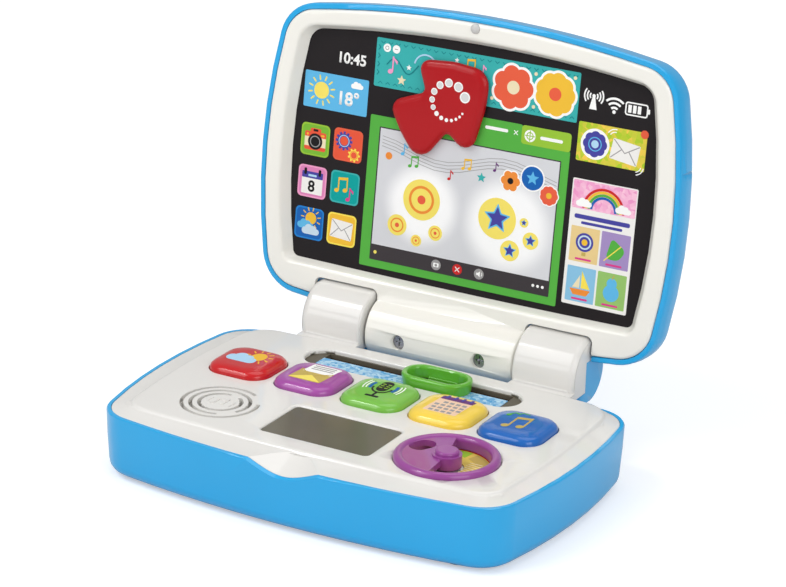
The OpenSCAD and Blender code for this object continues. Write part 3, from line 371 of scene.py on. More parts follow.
class Sketch:
    """Thin printed shapes laid over each other in one flat frame.

    Places and sizes are millimetres, and turns are degrees. Every shape has an ink, and a level
    that says how many layers of print its top stands above the carrying surface.
    """

    SIDES_PER_MM = 8  # sides of a disc for each millimetre of its radius
    FEWEST, MOST = 16, 64  # sides of the smallest and the largest disc
    ARC_STEP = 8  # turn between two steps of a ring
    CORNER_STEPS = 6  # faces round a rounded corner, and along each curve of a figure
    FULL_CORNER = 0.98  # the roundest corner, as a share of half a side
    STAR_CORNER = 0.06  # rounding of a star's corners, as a share of its radius
    BOLDNESS = 0.028  # how far figures are thickened, as a share of their size

    def __init__(self, place: Matrix, height: float, cell: float = 0.0,
                 layer: float = PRINT_LAYER) -> None:
        """Starts an empty sketch.

        Args:
            place: The flat frame, from millimetres to metres.
            height: Where the carrying surface lies in that frame.
            cell: Size of the grid that the shapes are cut along, so that they can be draped,
                or 0 to leave them whole.
            layer: Height of one layer of print.
        """
        self.place, self.height, self.cell, self.layer = place, height, cell, layer
        self.mesh = bmesh.new()
        self.inks: list[Finish] = []
        self.count = 0

    def _lay(self, shape: Shape, ink: Finish, level: float, at: Point = (0.0, 0.0),
             turn: float = 0.0) -> None:
        """Puts a flat shape in its place, thickens it and adds it to the sketch.

        Args:
            shape: Faces in the plane z = 0. It is freed here.
            ink: Its ink.
            level: Its level.
            at: Where its origin goes.
            turn: Its turn about that origin.
        """
        bmesh.ops.rotate(shape, verts=shape.verts, cent=(0, 0, 0),
                         matrix=Matrix.Rotation(math.radians(turn), 3, "Z"))
        bmesh.ops.translate(shape, verts=shape.verts, vec=(*at, 0))
        for axis in (Vector((1, 0, 0)), Vector((0, 1, 0))) if self.cell else ():
            reach = [v.co.dot(axis) for v in shape.verts]
            step = math.floor(min(reach) / self.cell) * self.cell + self.cell
            while step < max(reach):
                bmesh.ops.bisect_plane(
                    shape, geom=[*shape.verts, *shape.edges, *shape.faces],
                    plane_co=axis * step, plane_no=axis)
                step += self.cell
        self.count += 1
        top = self.height + self.layer * level + self.count * SHAPE_STEP
        bmesh.ops.translate(shape, verts=shape.verts, vec=(0, 0, self.height - PRINT_SINK))
        raised = bmesh.ops.extrude_face_region(shape, geom=shape.faces[:])
        for part in raised["geom"]:
            if isinstance(part, bmesh.types.BMVert):
                part.co.z = top
        bmesh.ops.recalc_face_normals(shape, faces=shape.faces)
        if ink not in self.inks:
            self.inks.append(ink)
        for face in shape.faces:
            face.material_index = self.inks.index(ink)
        held = bpy.data.meshes.new("held")
        shape.to_mesh(held)
        shape.free()
        self.mesh.from_mesh(held)
        bpy.data.meshes.remove(held)

    def disc(self, x: float, y: float, r: float, ink: Finish, level: float = 1,
             squash: float = 1.0, turn: float = 0.0) -> None:
        """Adds a disc or an ellipse.

        Args:
            x, y: Its middle.
            r: Its radius along its own x axis.
            ink, level: Its ink and level.
            squash: Its radius across that axis as a share of r.
            turn: The turn of that axis.
        """
        shape = bmesh.new()
        sides = max(self.FEWEST, min(self.MOST, int(r * self.SIDES_PER_MM)))
        bmesh.ops.create_circle(shape, cap_ends=True, radius=r, segments=sides)
        bmesh.ops.scale(shape, vec=(1, squash, 1), verts=shape.verts)
        self._lay(shape, ink, level, (x, y), turn)

    def panel(self, x0: float, y0: float, x1: float, y1: float, ink: Finish,
              level: float = 1, corner: float = 0.0, turn: float = 0.0) -> None:
        """Adds a rectangle.

        Args:
            x0, y0: One corner.
            x1, y1: The corner across from it.
            ink, level: Its ink and level.
            corner: How far back from each corner its rounding starts.
            turn: Its turn about its middle.
        """
        half_w, half_h = abs(x1 - x0) / 2, abs(y1 - y0) / 2
        self.outline([(-half_w, -half_h), (half_w, -half_h), (half_w, half_h), (-half_w, half_h)],
                     ink, level, min(corner, half_w * self.FULL_CORNER, half_h * self.FULL_CORNER),
                     ((x0 + x1) / 2, (y0 + y1) / 2), turn)

    def outline(self, points: list[Point], ink: Finish, level: float = 1, corner: float = 0.0,
                at: Point = (0.0, 0.0), turn: float = 0.0) -> None:
        """Adds a closed outline.

        Args:
            points: Its corners in order.
            ink, level: Its ink and level.
            corner: How far back from each corner its rounding starts.
            at: Where the outline's own origin goes.
            turn: Its turn about that origin.
        """
        shape = bmesh.new()
        shape.faces.new([shape.verts.new((px, py, 0)) for px, py in points])
        if corner > 0:
            bmesh.ops.bevel(shape, geom=shape.verts[:], offset=corner, offset_type="OFFSET",
                            segments=self.CORNER_STEPS, profile=0.5, affect="VERTICES", material=-1)
        bmesh.ops.triangulate(shape, faces=shape.faces[:])
        self._lay(shape, ink, level, at, turn)

    def ring(self, x: float, y: float, r: float, width: float, ink: Finish, level: float = 1,
             start: float = 0.0, sweep: float = 360.0) -> None:
        """Adds a ring or an arc of a ring.

        Args:
            x, y: Its middle.
            r: Radius of the middle of its line.
            width: Width of its line.
            ink, level: Its ink and level.
            start: Where the arc starts.
            sweep: How far it goes round.
        """
        shape = bmesh.new()
        ends = [shape.verts.new((r + side * width / 2, 0, 0)) for side in (-1, 1)]
        edge = shape.edges.new(ends)
        bmesh.ops.spin(shape, geom=ends + [edge], cent=(0, 0, 0), axis=(0, 0, 1),
                       angle=math.radians(sweep), steps=max(8, int(sweep / self.ARC_STEP)),
                       use_merge=sweep >= 360)
        self._lay(shape, ink, level, (x, y), start)

    def stroke(self, points: list[Point], width: float, ink: Finish, level: float = 1) -> None:
        """Adds a line of one width with round joints.

        Args:
            points: What it runs through.
            width: Its width.
            ink, level: Its ink and level.
        """
        for (ax, ay), (bx, by) in zip(points, points[1:]):
            length = math.hypot(bx - ax, by - ay)
            self.panel((ax + bx - length) / 2, (ay + by - width) / 2,
                       (ax + bx + length) / 2, (ay + by + width) / 2, ink, level,
                       turn=math.degrees(math.atan2(by - ay, bx - ax)))
        for px, py in points:
            self.disc(px, py, width / 2, ink, level)

    def star(self, x: float, y: float, r: float, ink: Finish, level: float = 1,
             inner: float = 0.45) -> None:
        """Adds a star of five points, one of them upright.

        Args:
            x, y: Its middle.
            r: Radius of its points.
            ink, level: Its ink and level.
            inner: Radius of its inner corners as a share of r.
        """
        points = [polar(0, 0, reach, math.pi * i / 5) for i, reach in enumerate((r, r * inner) * 5)]
        self.outline(points, ink, level, r * self.STAR_CORNER, (x, y), 90.0)

    def number(self, words: str, x: float, y: float, size: float, ink: Finish,
               level: float = 1) -> None:
        """Adds plain figures.

        Args:
            words: The figures.
            x, y: Their lower left corner.
            size: Their size as type.
            ink, level: Their ink and level.
        """
        curve = bpy.data.curves.new("figures", "FONT")
        curve.body, curve.size, curve.resolution_u = words, size, self.CORNER_STEPS
        curve.offset = size * self.BOLDNESS
        holder = link_object("figures", curve)
        bpy.context.view_layer.update()
        flat = bpy.data.meshes.new_from_object(
            holder.evaluated_get(bpy.context.evaluated_depsgraph_get()))
        shape = bmesh.new()
        shape.from_mesh(flat)
        bmesh.ops.remove_doubles(shape, verts=shape.verts, dist=size * 0.001)
        bpy.data.objects.remove(holder)
        bpy.data.curves.remove(curve)
        bpy.data.meshes.remove(flat)
        self._lay(shape, ink, level, (x, y))

    def piece(self, name: str, body: str, over: str | None = None) -> bpy.types.Object:
        """Finishes the sketch as one object that rides on a body.

        Args:
            name: The new object's name.
            body: The body that it rides on.
            over: A node that the print is draped over, or None where it lies flat.

        Returns:
            The new object.
        """
        bmesh.ops.transform(self.mesh, matrix=self.place, verts=self.mesh.verts)
        if over:
            self._drape(frame["nodes"][over])
        mesh = bpy.data.meshes.new(name)
        self.mesh.to_mesh(mesh)
        self.mesh.free()
        obj = link_object(name, mesh)
        for ink in self.inks:
            mesh.materials.append(ink.material())
        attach(obj, body)
        log.info("%s: %d printed shapes, %d faces, on %s", name, self.count,
                 len(mesh.polygons), body)
        return obj

    def _drape(self, carrier: bpy.types.Object) -> None:
        """Lets every point down onto a surface, by its own height above the flat one.

        Args:
            carrier: The object whose surface takes the print.
        """
        tree = BVHTree.FromPolygons([v.co for v in carrier.data.vertices],
                                    [tuple(p.vertices) for p in carrier.data.polygons])
        up = (self.place.to_3x3() @ Vector((0, 0, 1))).normalized()
        flat = self.place @ Vector((0, 0, self.height))
        for vert in self.mesh.verts:
            hit = tree.ray_cast(vert.co + up * DRAPE_REACH, -up)[0]
            if hit is not None:
                vert.co = hit + up * (vert.co - flat).dot(up)


class Artwork(Sketch):
    """A sketch with the small emblems that several prints share."""

    def sun(self, x: float, y: float, r: float, ink: Finish, level: float, rays: int) -> None:
        """Draws a plain sun: a disc and separate rays.

        Args:
            x, y: Its middle.
            r: Radius of its disc.
            ink, level: Its ink and level.
            rays: How many rays it has.
        """
        self.disc(x, y, r, ink, level)
        for i in range(rays):
            turn = math.tau * i / rays + 0.2
            self.stroke([polar(x, y, reach, turn) for reach in (r * 1.3, r * 1.75)], r * 0.18,
                        ink, level)

    def cloud(self, x: float, y: float, r: float, ink: Finish, level: float = 3) -> None:
        """Draws a cloud of four round lobes on a flat foot.

        Args:
            x, y: Its middle.
            r: A third of its width.
            ink, level: Its ink and level.
        """
        for dx, dy, share in ((-1.1, 0.0, 0.62), (-0.35, 0.45, 0.75), (0.55, 0.3, 0.68),
                              (1.25, -0.05, 0.55)):
            self.disc(x + dx * r, y + dy * r, share * r, ink, level)
        self.panel(x - 1.4 * r, y - 0.62 * r, x + 1.5 * r, y + 0.1 * r, ink, level, r * 0.3)

    def envelope(self, x: float, y: float, w: float, h: float, turn: float) -> None:
        """Draws a closed paper envelope with its folds as thin grey lines.

        Args:
            x, y: Its middle.
            w, h: Its width and height.
            turn: Its turn.
        """
        self.panel(x - w / 2, y - h / 2, x + w / 2, y + h / 2, PAPER, 3, h * 0.06, turn)
        cos, sin = math.cos(math.radians(turn)), math.sin(math.radians(turn))
        for fold in ([(-0.46, 0.44), (0, -0.06), (0.46, 0.44)],
                     [(-0.46, -0.44), (-0.14, 0.06)], [(0.46, -0.44), (0.14, 0.06)]):
            self.stroke([(x + px * w * cos - py * h * sin, y + px * w * sin + py * h * cos)
                         for px, py in fold], w * 0.035, GREY, 4)

    def note(self, x: float, y: float, size: float, ink: Finish, level: float,
             double: bool = True, lean: float = 0.12) -> None:
        """Draws a musical note, single or in a joined pair.

        Args:
            x, y: Middle of the left head.
            size: Height of the stem.
            ink, level: Its ink and level.
            double: Whether two notes are joined by a beam.
            lean: Rise of the beam as a share of its length.
        """
        head, stem, gap = size * 0.2, size * 0.1, size * 0.72
        heads = [(x, y), (x + gap, y + gap * lean)] if double else [(x, y)]
        for hx, hy in heads:
            self.disc(hx, hy, head, ink, level, 0.78, 20)
            self.panel(hx + head - stem, hy, hx + head, hy + size, ink, level)
        thick = size * 0.2
        tail = ([(-stem, -thick), (gap, gap * lean - thick), (gap, gap * lean), (-stem, 0)]
                if double else
                [(-stem, 0), (size * 0.3, -size * 0.28), (size * 0.26, -size * 0.5), (0, -thick)])
        self.outline([(x + head + dx, y + size + dy) for dx, dy in tail], ink, level)

    def gear(self, x: float, y: float, r: float, ink: Finish, teeth: int) -> None:
        """Draws a gear wheel with square teeth and a hole that shows the tile's vermilion.

        Args:
            x, y: Its middle.
            r: Radius of its teeth.
            ink: Its ink.
            teeth: How many teeth it has.
        """
        for i in range(teeth):
            turn = 360 * i / teeth
            cx, cy = polar(x, y, 0.86 * r, math.radians(turn))
            self.panel(cx - r * 0.17, cy - r * 0.14, cx + r * 0.17, cy + r * 0.14, ink, 3, 0, turn)
        self.disc(x, y, r * 0.8, ink, 3)
        self.disc(x, y, r * 0.5, VERMILION, 4)

    def flower(self, x: float, y: float, r: float, petal: Finish, heart: Finish,
               edge: Finish | None, level: float, petals: int) -> None:
        """Draws a flower of round petals.

        Args:
            x, y: Its middle.
            r: Its radius.
            petal, heart: Its two inks.
            edge: The ink of an edge round it, or None.
            level: Its lowest level.
            petals: How many petals it has.
        """
        for spread, ink, lift in ((1.22, edge, 0), (1.0, petal, 1)):
            if ink is None:
                continue
            for i in range(petals):
                self.disc(*polar(x, y, 0.58 * r, math.tau * i / petals),
                          0.4 * r * spread + (spread - 1) * r * 0.1, ink, level + lift)
            self.disc(x, y, 0.6 * r, ink, level + lift)
        self.disc(x, y, 0.3 * r, heart, level + 2)


# ---------- sub-assemblies ----------


@dataclass
class Mouldings:
    """The solids and their finishes. Lofted shells are copied, merged and shaded smooth.

    Lengths are millimetres. The values named after the dip describe the finger dip in the front
    of the deck, and the last two tell the arrow's flat ends from its sides.
    """

    smooth_deg: float = 32.0
    merge: float = 0.002
    flat_deg: float = 0.02
    shading_weight: int = 50
    dip_half: float = 29.0
    dip_rise: float = 6.7
    dip_slope: float = math.atan2(6.2, 15.9)
    dip_back: float = HINGE.y / MM - 145.4
    dip_match: float = 0.997
    end_match: float = 0.999
    end_depth: float = 0.01
    lofted: dict[str, Finish] = field(default_factory=lambda: {
        "lower_case": SHELL_BLUE, "upper_deck": DECK_WHITE, "lid_front_frame": FRAME_WHITE,
        "lid_rear_shell": SHELL_BLUE, "slider_ring": RING_GREEN, "cursor_arrow": ARROW_RED,
        **BUTTON_FINISHES})
    plain: dict[str, Finish] = field(default_factory=lambda: {
        "battery_door": SHELL_BLUE, "battery_door_screw": STEEL, "batteries": CELL_WRAP,
        "battery_contacts": STEEL, "feet": FOOT_RUBBER, "case_screws": STEEL,
        "hinge_pins": STEEL, "main_board": BOARD_GREEN, "button_membrane": SILICONE,
        "speaker_driver": SPEAKER_GREY, "display_window": LCD_GREY,
        "display_module": BLACK_PLASTIC, "slider_track": TRACK_OLIVE,
        "slider_channel": CHANNEL_SHADED_BROWN, "track_print": TRACK_PRINT, "dial_disc": DIAL_DISC,
        "slider_carriage": BLACK_PLASTIC, "dial_wheel": DIAL_PURPLE, "dial_retainer": STEEL,
        "screen_panel": SCREEN_BLACK, "light_diffuser": WHITE, "light_board": BOARD_GREEN,
        "barrel_screws": STEEL, "hinge_bushes": NYLON, "camera_lens": LENS_CLEAR,
        "arrow_pivot": NYLON})

    def build(self) -> None:
        """Dresses every solid."""
        for node, finish in self.plain.items():
            solid = frame["nodes"][node]
            if not solid.material_slots:
                solid.data.materials.append(None)
            for held in solid.material_slots:
                held.material = finish.material()
            log.info("%s: %s", node, finish.name)
        bodies = {n: b for b, ns in frame["record"]["behaviour"]["bodies"].items() for n in ns}
        for node, finish in self.lofted.items():
            self._smooth_copy(node, bodies[node], finish)

    def _smooth_copy(self, node: str, body: str, finish: Finish) -> None:
        """Copies a lofted shell, merges its loose triangles and smooths its curves.

        Args:
            node: The solid that the copy stands for.
            body: The body that it rides on.
            finish: Its finish.
        """
        shell = bmesh.new()
        shell.from_mesh(frame["nodes"][node].data)
        bmesh.ops.remove_doubles(shell, verts=shell.verts, dist=self.merge * MM)
        bmesh.ops.dissolve_degenerate(shell, edges=shell.edges, dist=self.merge * MM)
        if node == "cursor_arrow":
            self._close_flat_ends(shell)
        bmesh.ops.dissolve_limit(shell, angle_limit=math.radians(self.flat_deg), verts=shell.verts,
                                 edges=shell.edges, use_dissolve_boundaries=False)
        dip = self._dip_rim(shell) if node == "upper_deck" else []
        for face in shell.faces:
            face.smooth = True
            face.material_index = 0
        mesh = bpy.data.meshes.new(node + "_moulding")
        shell.to_mesh(mesh)
        shell.free()
        mesh.set_sharp_from_angle(angle=math.radians(self.smooth_deg))
        for index in dip:
            mesh.edges[index].use_edge_sharp = True
        mesh.materials.append(finish.material())
        obj = link_object(node + "_moulding", mesh)
        weigh = obj.modifiers.new("weighted_normals", "WEIGHTED_NORMAL")
        weigh.keep_sharp = True
        weigh.mode, weigh.weight = "FACE_AREA_WITH_ANGLE", self.shading_weight
        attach(obj, body)
        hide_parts(node)
        log.info("%s: %d faces, smooth, %s", node, len(mesh.polygons), finish.name)

    def _dip_rim(self, shell: Shape) -> list[int]:
        """Finds the edges round the finger dip, where its smooth shading has to end.

        Args:
            shell: The deck's merged mesh, in metres.

        Returns:
            The indices of the edges between the dip and the rest of the deck.
        """
        shell.normal_update()
        dip = set()
        for face in shell.faces:
            x, y, _ = face.calc_center_median() / MM
            lean = (math.pi * self.dip_rise / (2 * self.dip_half)
                    * math.sin(math.pi * x / self.dip_half))
            want = Vector((-lean, -math.sin(self.dip_slope), math.cos(self.dip_slope)))
            if (abs(x) < self.dip_half and y < self.dip_back
                    and face.normal.dot(want.normalized()) > self.dip_match):
                dip.add(face)
        shell.edges.index_update()
        log.info("finger dip: %d faces", len(dip))
        return [e.index for e in shell.edges if sum(f in dip for f in e.link_faces) == 1]

    def _close_flat_ends(self, shell: Shape) -> None:
        """Fills the two flat ends of the arrow anew, as one clean face each.

        Args:
            shell: The arrow's merged mesh, in metres.
        """
        out = (LID.to_3x3() @ Vector((0, 0, 1))).normalized()
        shell.normal_update()
        heights = [v.co.dot(out) for v in shell.verts]
        for level in (min(heights), max(heights)):
            flat = [f for f in shell.faces if abs(f.normal.dot(out)) > self.end_match
                    and abs(f.calc_center_median().dot(out) - level) < self.end_depth * MM]
            bmesh.ops.delete(shell, geom=flat, context="FACES")
            rim = [e for e in shell.edges if e.is_boundary]
            bmesh.ops.triangle_fill(shell, use_beauty=True, use_dissolve=False, edges=rim,
                                    normal=out)
        bmesh.ops.recalc_face_normals(shell, faces=shell.faces)


@dataclass
class ScreenPrint:
    """The printed picture of a desktop behind the lid's frame."""

    screen_w: float = -1.4
    tile: float = 16.6
    tile_corner: float = 2.4
    tile_border: float = 0.8

    def build(self) -> None:
        """Lays every printed group on the screen."""
        self._banner()
        self._status()
        self._weather()
        self._tiles()
        self._window()
        self._cards()

    def _sheet(self) -> Artwork:
        """Starts a sketch on the screen's face, low enough for the arrow to turn over it."""
        return Artwork(LID, self.screen_w, layer=SCREEN_LAYER)

    def _banner(self) -> None:
        """The teal banner with a stitched border, notes and two flowers."""
        art = self._sheet()
        art.panel(-56.7, 121.6, 55.8, 146.2, TEAL, 1, 0.8)
        for i in range(26):
            x = -54.2 + i * 4.25
            for v, rise in ((123.3, 1), (144.5, -1)):
                art.stroke([(x, v), (x + 1.1, v + rise), (x + 2.2, v)], 0.35, DEEP_TEAL, 2)
        for v in (127.5, 131.7, 135.9, 140.1):
            art.stroke([(-55.3, v), (-54.3, v + 1.2), (-55.3, v + 2.4)], 0.35, DEEP_TEAL, 2)
        for x in (-50.6, -45.4):
            art.disc(x, 141.6, 2.1, WHITE, 3)
        art.ring(-50.6, 141.6, 0.9, 0.35, GREY, 4)
        art.stroke([(-46.2, 141.6), (-44.6, 141.6)], 0.4, GREY, 4)
        path = [(-50 + t * 1.6, 133.5 + 3.4 * math.sin(t * 0.62)) for t in range(0, 12)]
        art.stroke(path, 0.55, DEEP_TEAL, 2)
        art.ring(-28.5, 135.2, 6.2, 0.8, PALE_SKY, 2, 20, 150)
        art.note(-47.8, 130.2, 7.6, PINK, 4, False)
        art.star(-41.2, 126.6, 2.6, CREAM, 4)
        art.star(-37.6, 133.6, 1.5, WHITE, 4)
        art.note(-6.2, 137.6, 5.6, GOLD, 4)
        art.note(2.6, 136.4, 5.2, PINK, 4, False)
        art.star(-11.4, 141.6, 1.3, WHITE, 4)
        art.flower(20.5, 133.2, 11.2, CORAL, CREAM, WHITE, 3, 7)
        art.flower(43.2, 133.6, 11.0, GOLD, CORAL, WHITE, 3, 9)
        for x, v in ((32, 141.8), (32.2, 125.6), (53.0, 143.2), (9.4, 126.2)):
            art.disc(x, v, 0.9, CREAM, 3)
        art.piece("print_banner", "lid")

    def _status(self) -> None:
        """The clock and the three signal emblems along the top."""
        art = self._sheet()
        art.number("10:45", -78.6, 130.2, 7.6, WHITE)
        for r in (2.0, 3.5, 5.0):
            for start in (-38, 142):
                art.ring(63.6, 136.2, r, 0.75, WHITE, 1, start, 76)
        art.disc(63.6, 136.2, 0.9, WHITE)
        art.outline([(63.0, 136.2), (64.2, 136.2), (65.6, 129.6), (61.6, 129.6)], WHITE)
        for r in (2.4, 4.6, 6.8):
            art.ring(74.8, 129.9, r, 1.1, WHITE, 1, 48, 84)
        art.disc(74.8, 130.2, 0.9, WHITE)
        art.panel(80.4, 129.9, 92.4, 136.5, WHITE, 1, 1.3)
        art.panel(81.1, 130.6, 91.7, 135.8, SCREEN_BLACK, 2, 0.8)
        art.panel(92.2, 132.0, 93.4, 134.4, WHITE, 1, 0.3)
        for x in (82.0, 84.5, 87.0):
            art.panel(x, 131.3, x + 1.8, 135.1, WHITE, 3)
        art.piece("print_status", "lid")

    def _weather(self) -> None:
        """The sky-blue weather card: a sun, a reading and a small cloud."""
        art = self._sheet()
        art.panel(-96.2, 104.8, -59.4, 123.4, SKY, 1, 0.8)
        art.sun(-86.2, 114.2, 4.3, YELLOW, 2, 12)
        art.number("18°", -77.2, 109.0, 9.4, WHITE, 2)
        art.cloud(-66.0, 119.3, 2.0, WHITE)
        art.piece("print_weather", "lid")

    def _tiles(self) -> None:
        """Six square emblems in two columns."""
        art = self._sheet()
        left, right = -87.7, -68.6
        half, inner = self.tile / 2, self.tile / 2 - self.tile_border
        for x, v, edge, ink in ((left, 88.3, LIME, LEAF), (right, 88.7, CORAL, VERMILION),
                                (left, 66.5, PINK, ROSE), (right, 66.7, TEAL, SEA),
                                (left, 44.7, AZURE, ROYAL), (right, 44.8, LEMON, GOLD)):
            art.panel(x - half, v - half, x + half, v + half, edge, 1, self.tile_corner)
            art.panel(x - inner, v - inner, x + inner, v + inner, ink, 2,
                      self.tile_corner - self.tile_border / 2)
        # camera
        art.panel(left - 6.2, 82.8, left + 6.2, 92.4, VERMILION, 3, 0.9)
        art.panel(left - 6.2, 84.8, left + 6.2, 89.6, CREAM, 4)
        art.panel(left - 3.1, 92.0, left + 3.1, 94.2, VERMILION, 3, 0.8)
        art.panel(left - 1.4, 92.6, left + 1.4, 93.8, BLACK, 4, 0.4)
        art.panel(left + 3.2, 90.4, left + 5.2, 91.4, GOLD, 4, 0.4)
        art.disc(left - 4.6, 90.9, 0.6, GOLD, 4)
        art.disc(left, 87.4, 4.2, BLACK, 5)
        art.disc(left, 87.4, 3.0, GREY, 6)
        art.disc(left, 87.4, 2.5, BLACK, 7)
        # gears
        art.gear(right - 2.4, 90.6, 4.7, INDIGO, 12)
        art.ring(right - 2.4, 90.6, 2.9, 0.4, PALE_SKY, 5)
        art.gear(right + 3.8, 84.2, 3.4, LEMON, 9)
        art.ring(right + 3.8, 84.2, 2.1, 0.4, ORANGE, 5)
        # calendar
        art.panel(left - 6.1, 60.0, left + 6.1, 68.6, PAPER, 3, 0.4)
        art.panel(left - 6.1, 68.2, left + 6.1, 71.6, INDIGO, 3, 0.4)
        art.panel(left - 2.4, 69.1, left + 2.4, 70.2, PALE_SKY, 4, 0.3)
        for x in (left - 4.2, left + 4.2):
            art.panel(x - 0.75, 69.8, x + 0.75, 73.2, BLACK, 5, 0.5)
        art.number("8", left - 2.3, 61.4, 8.0, BLACK, 4)
        # notes
        art.note(right - 4.6, 64.8, 6.8, GOLD, 3, True)
        art.note(right + 2.2, 61.0, 6.2, MAGENTA, 4, False)
        # sun behind clouds
        art.sun(left + 0.9, 47.4, 3.2, GOLD, 3, 11)
        art.cloud(left - 2.2, 43.4, 2.7, SKY, 4)
        art.cloud(left + 1.0, 40.8, 2.9, MIST, 5)
        # letter
        art.envelope(right, 44.8, 12.4, 9.4, -4)
        art.piece("print_tiles", "lid")

    def _window(self) -> None:
        """The green window with its tabs, the pale sheet with its painted glows and the dark bar."""
        art = self._sheet()
        art.panel(-56.9, 29.2, 54.0, 107.0, GRASS, 1, 0.8)
        art.panel(-20, 104.0, 28.2, 115.9, GRASS, 1.4, 2.0)
        art.panel(27.2, 106.6, 54.0, 115.9, LIME, 2, 1.6)
        art.disc(31.8, 111.0, 3.0, WHITE, 3)
        art.ring(31.8, 111.0, 1.7, 0.5, LIME, 4)
        art.stroke([(31.8, 108.4), (31.8, 113.6)], 0.45, LIME, 4)
        art.stroke([(29.2, 111.0), (34.4, 111.0)], 0.45, LIME, 4)
        art.panel(37.4, 110.2, 49.6, 111.8, WHITE, 3, 0.7)
        art.panel(7.2, 110.6, 19.8, 112.2, WHITE, 3, 0.7)
        for turn in (45, -45):
            art.panel(22.6, 111.2, 25.6, 111.6, WHITE, 3, 0, turn)
        art.panel(-51.3, 33.1, 49.8, 101.6, CHARCOAL, 2, 0.5)
        # the pale sheet, whose finish carries the painted glows round the big discs
        art.panel(-50.6, 41.2, 49.2, 101.0, PAINTED_GLOW_SHEET, 3)
        self._sheet_music(art)
        self._discs(art)
        self._bar(art)
        art.piece("print_window", "lid")

    @staticmethod
    def _sheet_music(art: Artwork) -> None:
        """Wavy staff lines with coloured notes and three round stickers.

        Args:
            art: The window's sketch.
        """
        for i in range(4):
            line = [(-49 + s * 7.5, 97.2 - i * 1.7 - 7.4 * math.sin((s + 0.3) * 0.33) ** 2)
                    for s in range(14)]
            art.stroke(line, 0.3, GREY, 4)
        art.disc(-44.8, 87.6, 1.9, ORANGE, 5)
        art.note(-37.2, 90.0, 5.4, SKY, 5, False)
        art.note(-32.6, 84.6, 5.2, GRASS, 5)
        art.note(-3.0, 88.6, 5.0, GOLD, 5)
        art.note(-10.2, 82.0, 4.6, RED, 5, False)
        art.star(7.6, 85.8, 2.6, TEAL, 5)
        art.note(14.4, 90.6, 4.2, PLUM, 5, False)
        art.flower(23.6, 87.0, 5.4, ORANGE, BLACK, WHITE, 6, 6)
        art.disc(35.4, 90.4, 6.6, WHITE, 6)
        art.disc(35.4, 90.4, 5.9, ROYAL, 7)
        art.star(35.4, 90.4, 3.6, SKY, 8)
        art.flower(45.0, 83.4, 5.0, CORAL, GOLD, WHITE, 8, 9)

    @staticmethod
    def _discs(art: Artwork) -> None:
        """Two groups of yellow discs over the sheet's painted glows, marked with rings and stars.

        Args:
            art: The window's sketch.
        """
        for x, v, r in ((-24.4, 68.6, 10.4), (-37.0, 53.4, 5.4), (-25.6, 47.4, 3.0),
                        (-15.2, 53.2, 3.9)):
            art.disc(x, v, r, YELLOW, 4)
            art.ring(x, v, r * 0.62, r * 0.13, ORANGE, 5)
            art.disc(x, v, r * 0.22, CORAL, 5)
        for x, v, r in ((18.2, 67.0, 10.4), (33.0, 67.6, 2.4), (37.4, 59.2, 4.3),
                        (26.6, 52.2, 5.2)):
            art.disc(x, v, r, YELLOW, 4)
            art.star(x, v, r * 0.74, SKY, 5, 0.48)
            art.star(x, v, r * 0.58, INDIGO, 6, 0.46)

    @staticmethod
    def _bar(art: Artwork) -> None:
        """The round controls on the dark bar.

        Args:
            art: The window's sketch.
        """
        art.disc(-48.2, 37.2, 0.9, YELLOW, 4)
        for x, ink in ((-13.2, GREY), (-1.2, RED), (11.0, GREY)):
            art.disc(x, 37.2, 2.7, ink, 4)
        art.panel(-14.7, 36.1, -11.7, 38.2, WHITE, 5, 0.3)
        art.disc(-13.2, 37.1, 0.75, GREY, 6)
        for turn in (45, -45):
            art.panel(-2.9, 37.0, 0.5, 37.4, WHITE, 5, 0, turn)
        art.outline([(9.6, 36.6), (10.4, 36.6), (11.6, 35.7), (11.6, 38.7), (10.4, 37.8),
                     (9.6, 37.8)], WHITE, 5)
        art.ring(11.2, 37.2, 1.5, 0.3, WHITE, 5, -40, 80)
        for x in (41.0, 43.6, 46.2):
            art.disc(x, 37.4, 0.75, WHITE, 4)

    def _cards(self) -> None:
        """The message card and the picture card at the right."""
        art = self._sheet()
        art.panel(57.2, 103.8, 93.4, 123.0, CONFETTI, 1, 0.8)
        art.disc(66.6, 113.0, 7.6, WHITE, 2)
        art.flower(66.6, 113.0, 6.6, INDIGO, PALE_SKY, None, 3, 8)
        art.ring(66.6, 113.0, 3.3, 0.5, SKY, 6)
        art.envelope(82.6, 111.8, 14.6, 10.2, -8)
        for r in (3.0, 4.4):
            art.ring(76.8, 117.6, r, 0.5, WHITE, 3, 80, 70)
            art.ring(88.6, 106.2, r, 0.5, WHITE, 3, -80, 70)
        art.disc(91.9, 122.0, 2.1, CORAL, 5)
